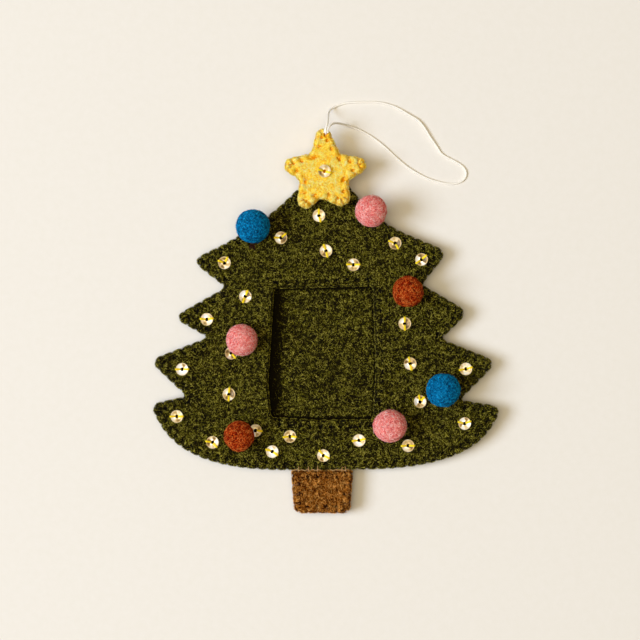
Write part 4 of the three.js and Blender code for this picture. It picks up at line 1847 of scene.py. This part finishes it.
@dataclass
class Ornament:
    """The whole ornament, built from its cut felt layers outwards to what is sewn on them."""

    tree_front: FeltLayer = field(init=False)
    tree_back: FeltLayer = field(init=False)
    star: list[FeltLayer] = field(init=False)
    trunk: list[FeltLayer] = field(init=False)
    # How far in from the window's left edge stitches begin, and how wide its right edge's strip is.
    unsewn_edge: float = 3.1
    right_strip: float = 2.5
    # Where the cord's ends are sewn to the star.
    cord_hole: tuple[float, float] = (0.2, 73.0)
    # The threads below a ball: distance from its side and height over its base.
    ball_away: tuple[float, ...] = (-1.6, -0.5, 0.8, 2.0, 2.4)
    ball_rise: tuple[float, ...] = (3.6, 2.2, 1.1, 0.5, -0.8)
    # The stitches that join the trunk: where the long ones start and end, and the short ones' place
    # and slant, with the height of a short one along it.
    trunk_runs: tuple[tuple[float, float], ...] = (
        (-13.4, -9.0), (-9.8, -5.2), (-5.6, -1.4), (2.0, 5.6), (5.0, 9.4),
    )  # fmt: skip
    trunk_ticks: tuple[tuple[float, float], ...] = (
        (-10.6, 0.15), (-6.6, -0.1), (-3.2, 0.2), (6.4, 0.25), (8.2, -0.5),
    )  # fmt: skip
    tick_rise: tuple[float, ...] = (-1.4, -0.3, 0.0, 0.15, 0.2, -0.8)

    def __post_init__(self) -> None:
        """Sets out the felt layers."""
        window = cad_rings("tree_front_panel")[1]
        window_low, window_high = window.min(axis=0), window.max(axis=0)
        wool = Nap(length=1.15, width=0.13, lift=0.18, curl=1.2, light_share=0.31, parts=2)
        self.tree_front = FeltLayer(
            "tree_front", "tree_front_panel", TREE_WOOL, Facing.UP, wool, 72000, 5200,
            seed=11, sewn_right_of=window_low[0] + self.unsewn_edge, cloth=True, nap_layers=3,
            pocket_lift=1.8, hole_radius=0.62,
            dent_places=tuple(middle_of(node) for node in SEQUIN_THREADS if node != "star_sequin"),
        )  # fmt: skip
        edge = self.tree_front.rims[1].line[::3]
        far = edge[:, 0] > window_high[0] - self.right_strip
        # The back's nap is thinned near the window's edges and the pocket's open edge, and its fibres there
        # get painted shade.
        self.tree_back = FeltLayer(
            "tree_back", "tree_back_panel", TREE_WOOL, Facing.DOWN, wool, 28000, 5600,
            seed=12, grid=1.2, open_seam=(*window_low, *window_high), cloth=True, nap_layers=2,
            seam_fibres=6.6, table_room=0.34,
            pressed=((edge[~far], 1.6), (edge[far], 0.9), (self.tree_front.pocket_edge[::3], 6.6)),
        )  # fmt: skip
        star_wool = Nap(length=1.6, width=0.2, lift=0.08, curl=2.0, light_share=0.42)
        star_shape = {
            "grid": 0.6,
            "edge_round": 1.4,
            "edge_drop": 0.95,
            "groove": 0.6,
            "puff": 0.5,
            "hole_depth": 0.8,
            "seam_tuck": 0.25,
            "tuft": 1.3,
            "tuft_tint": 0.5,
            "edge_back": 0.5,
            "draw": 0.42,
        }
        self.star = [
            FeltLayer(
                "star_face", "star_front", STAR_WOOL, Facing.UP, star_wool, 8400, 1500,
                seed=21, dent_places=(middle_of("star_sequin"), self.cord_hole), **star_shape,
            ),
            FeltLayer(
                "star_rear", "star_back", STAR_WOOL, Facing.DOWN, star_wool, 3000, 900,
                seed=22, **star_shape,
            ),
        ]  # fmt: skip
        trunk_wool = Nap(length=1.5, width=0.13, lift=0.16, curl=1.2, light_share=0.36)
        trunk_shape = {
            "sewn_below": -61.5,
            "rounding": 8,
            "draw": 0.24,
            "groove": 0.5,
            "hole_depth": 0.6,
            "fringe_painted_light": 0.25,
        }
        self.trunk = [
            FeltLayer(
                "trunk_face", "trunk_front", TRUNK_WOOL, Facing.UP, trunk_wool, 9600, 1400,
                seed=31, grid=0.6, **trunk_shape,
            ),
            FeltLayer(
                "trunk_rear", "trunk_back", TRUNK_WOOL, Facing.DOWN, trunk_wool, 3000, 700,
                seed=32, grid=0.8, table_room=0.34, **trunk_shape,
            ),
        ]  # fmt: skip

    def dress(self) -> None:
        """Builds the felt, the stitches, the balls and the sequins."""
        for layer in (self.tree_front, self.tree_back, *self.star, *self.trunk):
            layer.dress()
        sewn = (
            ("green_stitches", GREEN_THREAD, 0.17, self.tree_front, self.tree_back),
            ("star_stitches", YELLOW_THREAD, 0.2, *self.star),
            ("trunk_stitches", BROWN_THREAD, 0.2, *self.trunk),
        )
        for name, finish, radius, face, rear in sewn:
            sewing = Sewing(name, finish, radius)
            sewing.over_edge(face.rims[0], sewing.round_edge(face, rear))
            if face is self.tree_front:
                sewing.over_edge(face.rims[1], sewing.into_window(face))
            sewing.dress()
        for k, (node, finish) in enumerate(BALLS.items()):
            WoolBall(node, finish, 100 + 7 * k).dress()
        self.tie_balls()
        self.tie_trunk()
        self.sew_sequins()

    def tie_balls(self) -> None:
        """Adds the dark threads that show below some balls, from the ball's underside into the felt."""
        sewing = Sewing("ball_threads", DARK_THREAD, 0.17)
        for node, bearings in BALL_THREADS.items():
            low, high = box_of(node)
            centre = (low + high) / 2
            reach = (high[0] - low[0]) / 2
            turn = np.radians(bearings)
            ahead = np.stack([np.cos(turn), np.sin(turn)], axis=1)[:, None]
            away = reach + np.array(self.ball_away)
            rise = low[2] + np.array(self.ball_rise)
            flat = centre[:2] + ahead * away[None, :, None]
            sewing.thread(raised(flat, rise), 16)
        sewing.dress()

    def tie_trunk(self) -> None:
        """Adds the light brown stitches that join the trunk's top to the tree's lower edge."""
        sewing = Sewing("trunk_joining_stitches", TRUNK_THREAD, 0.13)
        top = self.trunk[0].rims[0].line[:, 1].max()
        face = self.tree_front.high
        share = np.linspace(0, 1, 6)
        for k, (left, right) in enumerate(self.trunk_runs):
            x = left + (right - left) * share
            y = top + 0.25 + 0.3 * np.sin(2.6 * x + k)
            z = face - 0.35 + 0.25 * np.sin(np.pi * share) - 0.9 * (np.abs(share - 0.5) > 0.45)
            sewing.thread(np.column_stack([x, y, z])[None], 24)
        ticks = np.array(self.trunk_ticks)
        x = ticks[:, :1] + ticks[:, 1:] * share
        y = top + np.broadcast_to(-0.7 + 2.6 * share, x.shape)
        z = face + np.broadcast_to(np.array(self.tick_rise), x.shape)
        sewing.thread(np.stack([x, y, z], axis=-1), 16)
        sewing.dress()

    def sew_sequins(self) -> None:
        """Makes the sequins and the threads across them."""
        foil = SequinFinish()
        film = foil.material()
        sewing = Sewing("sequin_threads", SEQUIN_THREAD, 0.21)
        rng = np.random.default_rng(5)
        for k, (node, directions) in enumerate(SEQUIN_THREADS.items()):
            lean = tuple(rng.uniform(-0.06, 0.06, 2))
            pale = SEQUIN_PALENESS.get(node, Sequin.paleness)
            sequin = Sequin(node, 300 + k, lean=lean, highlight_bearing=rng.uniform(150, 260), paleness=pale)
            sequin.dress(foil, film)
            sewing.thread(sequin.threads(directions), 20)
        sewing.dress()


@dataclass(frozen=True)
class SoftLamp:
    """A round lamp turned to the ornament: lengths in millimetres, angles in degrees, power in watts."""

    name: str
    distance: float
    rise: float
    bearing: float
    size: float
    power: float
    color: tuple[float, float, float]

    def hang(self) -> None:
        """Adds the lamp at its place."""
        data = bpy.data.lights.new(self.name, "AREA")
        data.shape = "DISK"
        data.size = self.size * MM
        data.energy = self.power
        data.color = self.color
        rise, turn = np.radians([self.rise, self.bearing])
        away = Vector((np.cos(rise) * np.cos(turn), np.cos(rise) * np.sin(turn), np.sin(rise)))
        made = into_scene(self.name, data)
        made.location = away * self.distance * MM
        made.rotation_euler = (-away).to_track_quat("-Z", "Y").to_euler()


@dataclass
class Studio:
    """The table, the soft lamp at the left, the one above and the camera straight above."""

    camera_place: tuple[float, float, float] = (-2.13, 0.52, 1008.3)
    lens: float = 142.77
    lamps: tuple[SoftLamp, ...] = (
        SoftLamp("window_light", 3500.0, 47.0, 186.0, 1750.0, 121.0, (0.724, 0.82, 1.0)),
        SoftLamp("ceiling_light", 2500.0, 84.0, 180.0, 2000.0, 38.3, (1.0, 0.859, 0.594)),
    )
    ambient: tuple[float, float, float] = (0.1, 0.088, 0.066)

    def camera(self) -> None:
        """Sets the camera to look straight down, with the star up."""
        data = bpy.data.cameras.new("camera")
        data.sensor_width = 36.0
        data.lens = self.lens
        data.clip_start, data.clip_end = 0.05, 50.0
        made = into_scene("camera", data)
        made.location = Vector(self.camera_place) * MM
        bpy.context.scene.camera = made

    def sky(self) -> None:
        """Fills the room with even light, and shows a paler wall to the camera and in reflections."""
        world = bpy.data.worlds.new("room")
        world.use_nodes = True
        tree = world.node_tree
        path = tree.nodes.new("ShaderNodeLightPath")
        seen = tree.nodes.new("ShaderNodeMath")
        seen.operation = "MAXIMUM"
        tree.links.new(path.outputs["Is Camera Ray"], seen.inputs[0])
        tree.links.new(path.outputs["Is Glossy Ray"], seen.inputs[1])
        mix = tree.nodes.new("ShaderNodeMix")
        mix.data_type = "RGBA"
        mix.inputs["A"].default_value = (*self.ambient, 1.0)
        mix.inputs["B"].default_value = (0.8, 0.78, 0.74, 1.0)
        tree.links.new(seen.outputs[0], mix.inputs["Factor"])
        tree.links.new(mix.outputs["Result"], tree.nodes["Background"].inputs["Color"])
        bpy.context.scene.world = world

    def table(self) -> None:
        """Lays the table top, which keeps the ornament's shadow."""
        data = bpy.data.meshes.new("table")
        corners = [(-4.0, -4.0, 0.0), (4.0, -4.0, 0.0), (4.0, 4.0, 0.0), (-4.0, 4.0, 0.0)]
        data.from_pydata(corners, [], [(0, 1, 2, 3)])
        data.materials.append(TableFinish().material())
        into_scene("table", data)


def main() -> None:
    """Builds the scene in order: camera, cord, ornament, room."""
    logging.basicConfig(level=logging.INFO, format="%(message)s")
    bpy.context.scene.view_settings.view_transform = "Standard"
    studio = Studio()
    studio.camera()
    HangingCord().dress()
    Ornament().dress()
    for lamp in studio.lamps:
        lamp.hang()
    studio.sky()
    studio.table()


if __name__ == "__main__":
    main()
